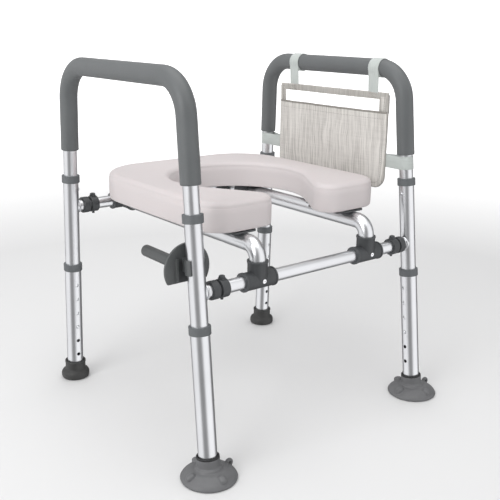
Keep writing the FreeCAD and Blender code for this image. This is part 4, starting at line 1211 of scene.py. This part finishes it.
def floor_material():
    """Pale paper that fades to white away from the object, as under a backlit sweep."""
    s = Shader("studio_floor")
    tone = s.noise(0.8, 2.0)
    away = s.add("ShaderNodeVectorMath", {0: s.place}, operation="LENGTH").outputs["Value"]
    fade = {"Value": away, "From Min": GLOW_START, "From Max": GLOW_END, "To Max": GLOW}
    glow = s.add("ShaderNodeMapRange", fade)
    return s.finish(Base_Color=s.mix(tone, 0.72, 0.75), Roughness=0.7, Specular_IOR_Level=0.2,
                    Emission_Color=rgba(1.0), Emission_Strength=glow.outputs["Result"])


def keep_under_feet(floor):
    """Drives the floor's height, so that it stays under the lowest foot when the legs are adjusted."""
    rule = floor.driver_add("location", 2).driver
    rule.type = "SCRIPTED"
    for end in ("front", "rear"):
        for side in SIDES:
            height = rule.variables.new()
            height.name = end + "_" + side
            height.type = "TRANSFORMS"
            height.targets[0].id = frame["bodies"]["leg_" + height.name]
            height.targets[0].transform_type = "LOC_Z"
            height.targets[0].transform_space = "WORLD_SPACE"
    rule.expression = "min(" + ", ".join(height.name for height in rule.variables) + ")"


def build_floor(view):
    """A plain floor that curves up into a wall behind the object, square to the view."""
    profile = [(FLOOR_FRONT, 0.0), (WALL_START, 0.0)]
    for k in range(1, 17):
        angle = math.pi / 2 * k / 16
        profile.append((WALL_START + WALL_BEND_R * math.sin(angle), WALL_BEND_R * (1 - math.cos(angle))))
    profile.append((WALL_START + WALL_BEND_R, WALL_TOP))
    across = Z.cross(view).normalized()
    bm = bmesh.new()
    rows = []
    for away, height in profile:
        middle = view * away + Z * height
        ends = (middle - across * FLOOR_HALF_WIDTH, middle + across * FLOOR_HALF_WIDTH)
        rows.append([bm.verts.new(end) for end in ends])
    for (a, b), (c, d) in zip(rows, rows[1:]):
        bm.faces.new((a, b, d, c))
    mesh = bpy.data.meshes.new("studio_floor")
    bm.to_mesh(mesh)
    bm.free()
    mesh.shade_smooth()
    mesh.materials.append(floor_material())
    floor = bpy.data.objects.new("studio_floor", mesh)
    bpy.context.scene.collection.objects.link(floor)
    floor.visible_glossy = False
    keep_under_feet(floor)


def build_world(view):
    """A pale studio: even light, with bright and dark panels that only reflections see."""
    world = bpy.data.worlds.new("studio")
    bpy.context.scene.world = world
    s = Nodes(world, "Background", "Generated")
    back = -view
    dots = [
        s.add("ShaderNodeVectorMath", {0: s.place, 1: axis}, operation="DOT_PRODUCT").outputs["Value"]
        for axis in (back, Z.cross(back))
    ]
    turn = s.math("ARCTAN2", dots[1], dots[0])
    share = s.math("MULTIPLY_ADD", turn, 1 / (2 * math.pi), 0.5)
    panels = s.ramp(share, [(at, (grey, grey, grey * 1.01)) for at, grey in PANELS], "EASE")
    height = s.add("ShaderNodeSeparateXYZ", {"Vector": s.place}).outputs["Z"]
    ceiling = {"Value": height, "From Min": 0.55, "From Max": 0.85}
    above = s.add("ShaderNodeMapRange", ceiling, interpolation_type="SMOOTHSTEP").outputs["Result"]
    panels = s.mix(above, panels, CEILING_GREY)
    rays = s.add("ShaderNodeLightPath").outputs
    colour = s.mix(rays["Is Glossy Ray"], AMBIENT, panels)
    colour = s.mix(rays["Is Camera Ray"], colour, 1.0)
    s.finish(Color=colour, Strength=1.0)


def area_light(name, place, target, size, power):
    data = bpy.data.lights.new(name, "AREA")
    data.shape = "RECTANGLE"
    data.size, data.size_y = size
    data.energy = power
    lamp = bpy.data.objects.new(name, data)
    lamp.location = place
    lamp.rotation_euler = (target - place).to_track_quat("-Z", "Y").to_euler()
    bpy.context.scene.collection.objects.link(lamp)
    return lamp


def build_camera():
    azimuth = math.radians(CAMERA_AZIMUTH)
    drop = math.radians(CAMERA_DROP)
    roll = math.radians(CAMERA_ROLL)
    level = Vector((-math.sin(azimuth), math.cos(azimuth), 0))
    forward = level * math.cos(drop) - Z * math.sin(drop)
    right = Vector((math.cos(azimuth), math.sin(azimuth), 0))
    up = right.cross(forward)
    rolled_right = right * math.cos(roll) + up * math.sin(roll)
    rolled_up = up * math.cos(roll) - right * math.sin(roll)
    turn = Matrix((rolled_right, rolled_up, -forward)).transposed()
    data = bpy.data.cameras.new("camera")
    data.sensor_width = 36
    data.lens = CAMERA_LENS
    camera = bpy.data.objects.new("camera", data)
    camera.matrix_world = Matrix.Translation(CAMERA_PLACE) @ turn.to_4x4()
    bpy.context.scene.collection.objects.link(camera)
    bpy.context.scene.camera = camera
    return forward


def build_stage():
    forward = build_camera()
    view = Vector((forward.x, forward.y, 0)).normalized()
    build_floor(view)
    build_world(view)
    centre = Vector((0, 0, 0.35))
    across = Z.cross(view)
    area_light("overhead", centre + Z * 2.3 - view * 0.3, centre, (2.4, 2.4), OVERHEAD_POWER)
    area_light("front_left", centre - view * 2.0 + across * 1.6 + Z * 1.2, centre, (1.6, 1.6), FRONT_POWER)
    bpy.context.scene.view_settings.view_transform = "Standard"
    bpy.context.scene.view_settings.look = "None"


def build_pieces(materials):
    seat_cushion(materials)
    for side in SIDES:
        foam_grip(side, materials)
        suction_foot(side, materials)
        rubber_tip(side, materials)
    bag_back(materials)
    bag_pocket(materials)
    bag_trim(materials)
    bag_straps(materials)
    bag_elastics(materials)


materials = make_materials()
finish_cad_nodes(materials)
build_pieces(materials)
build_stage()
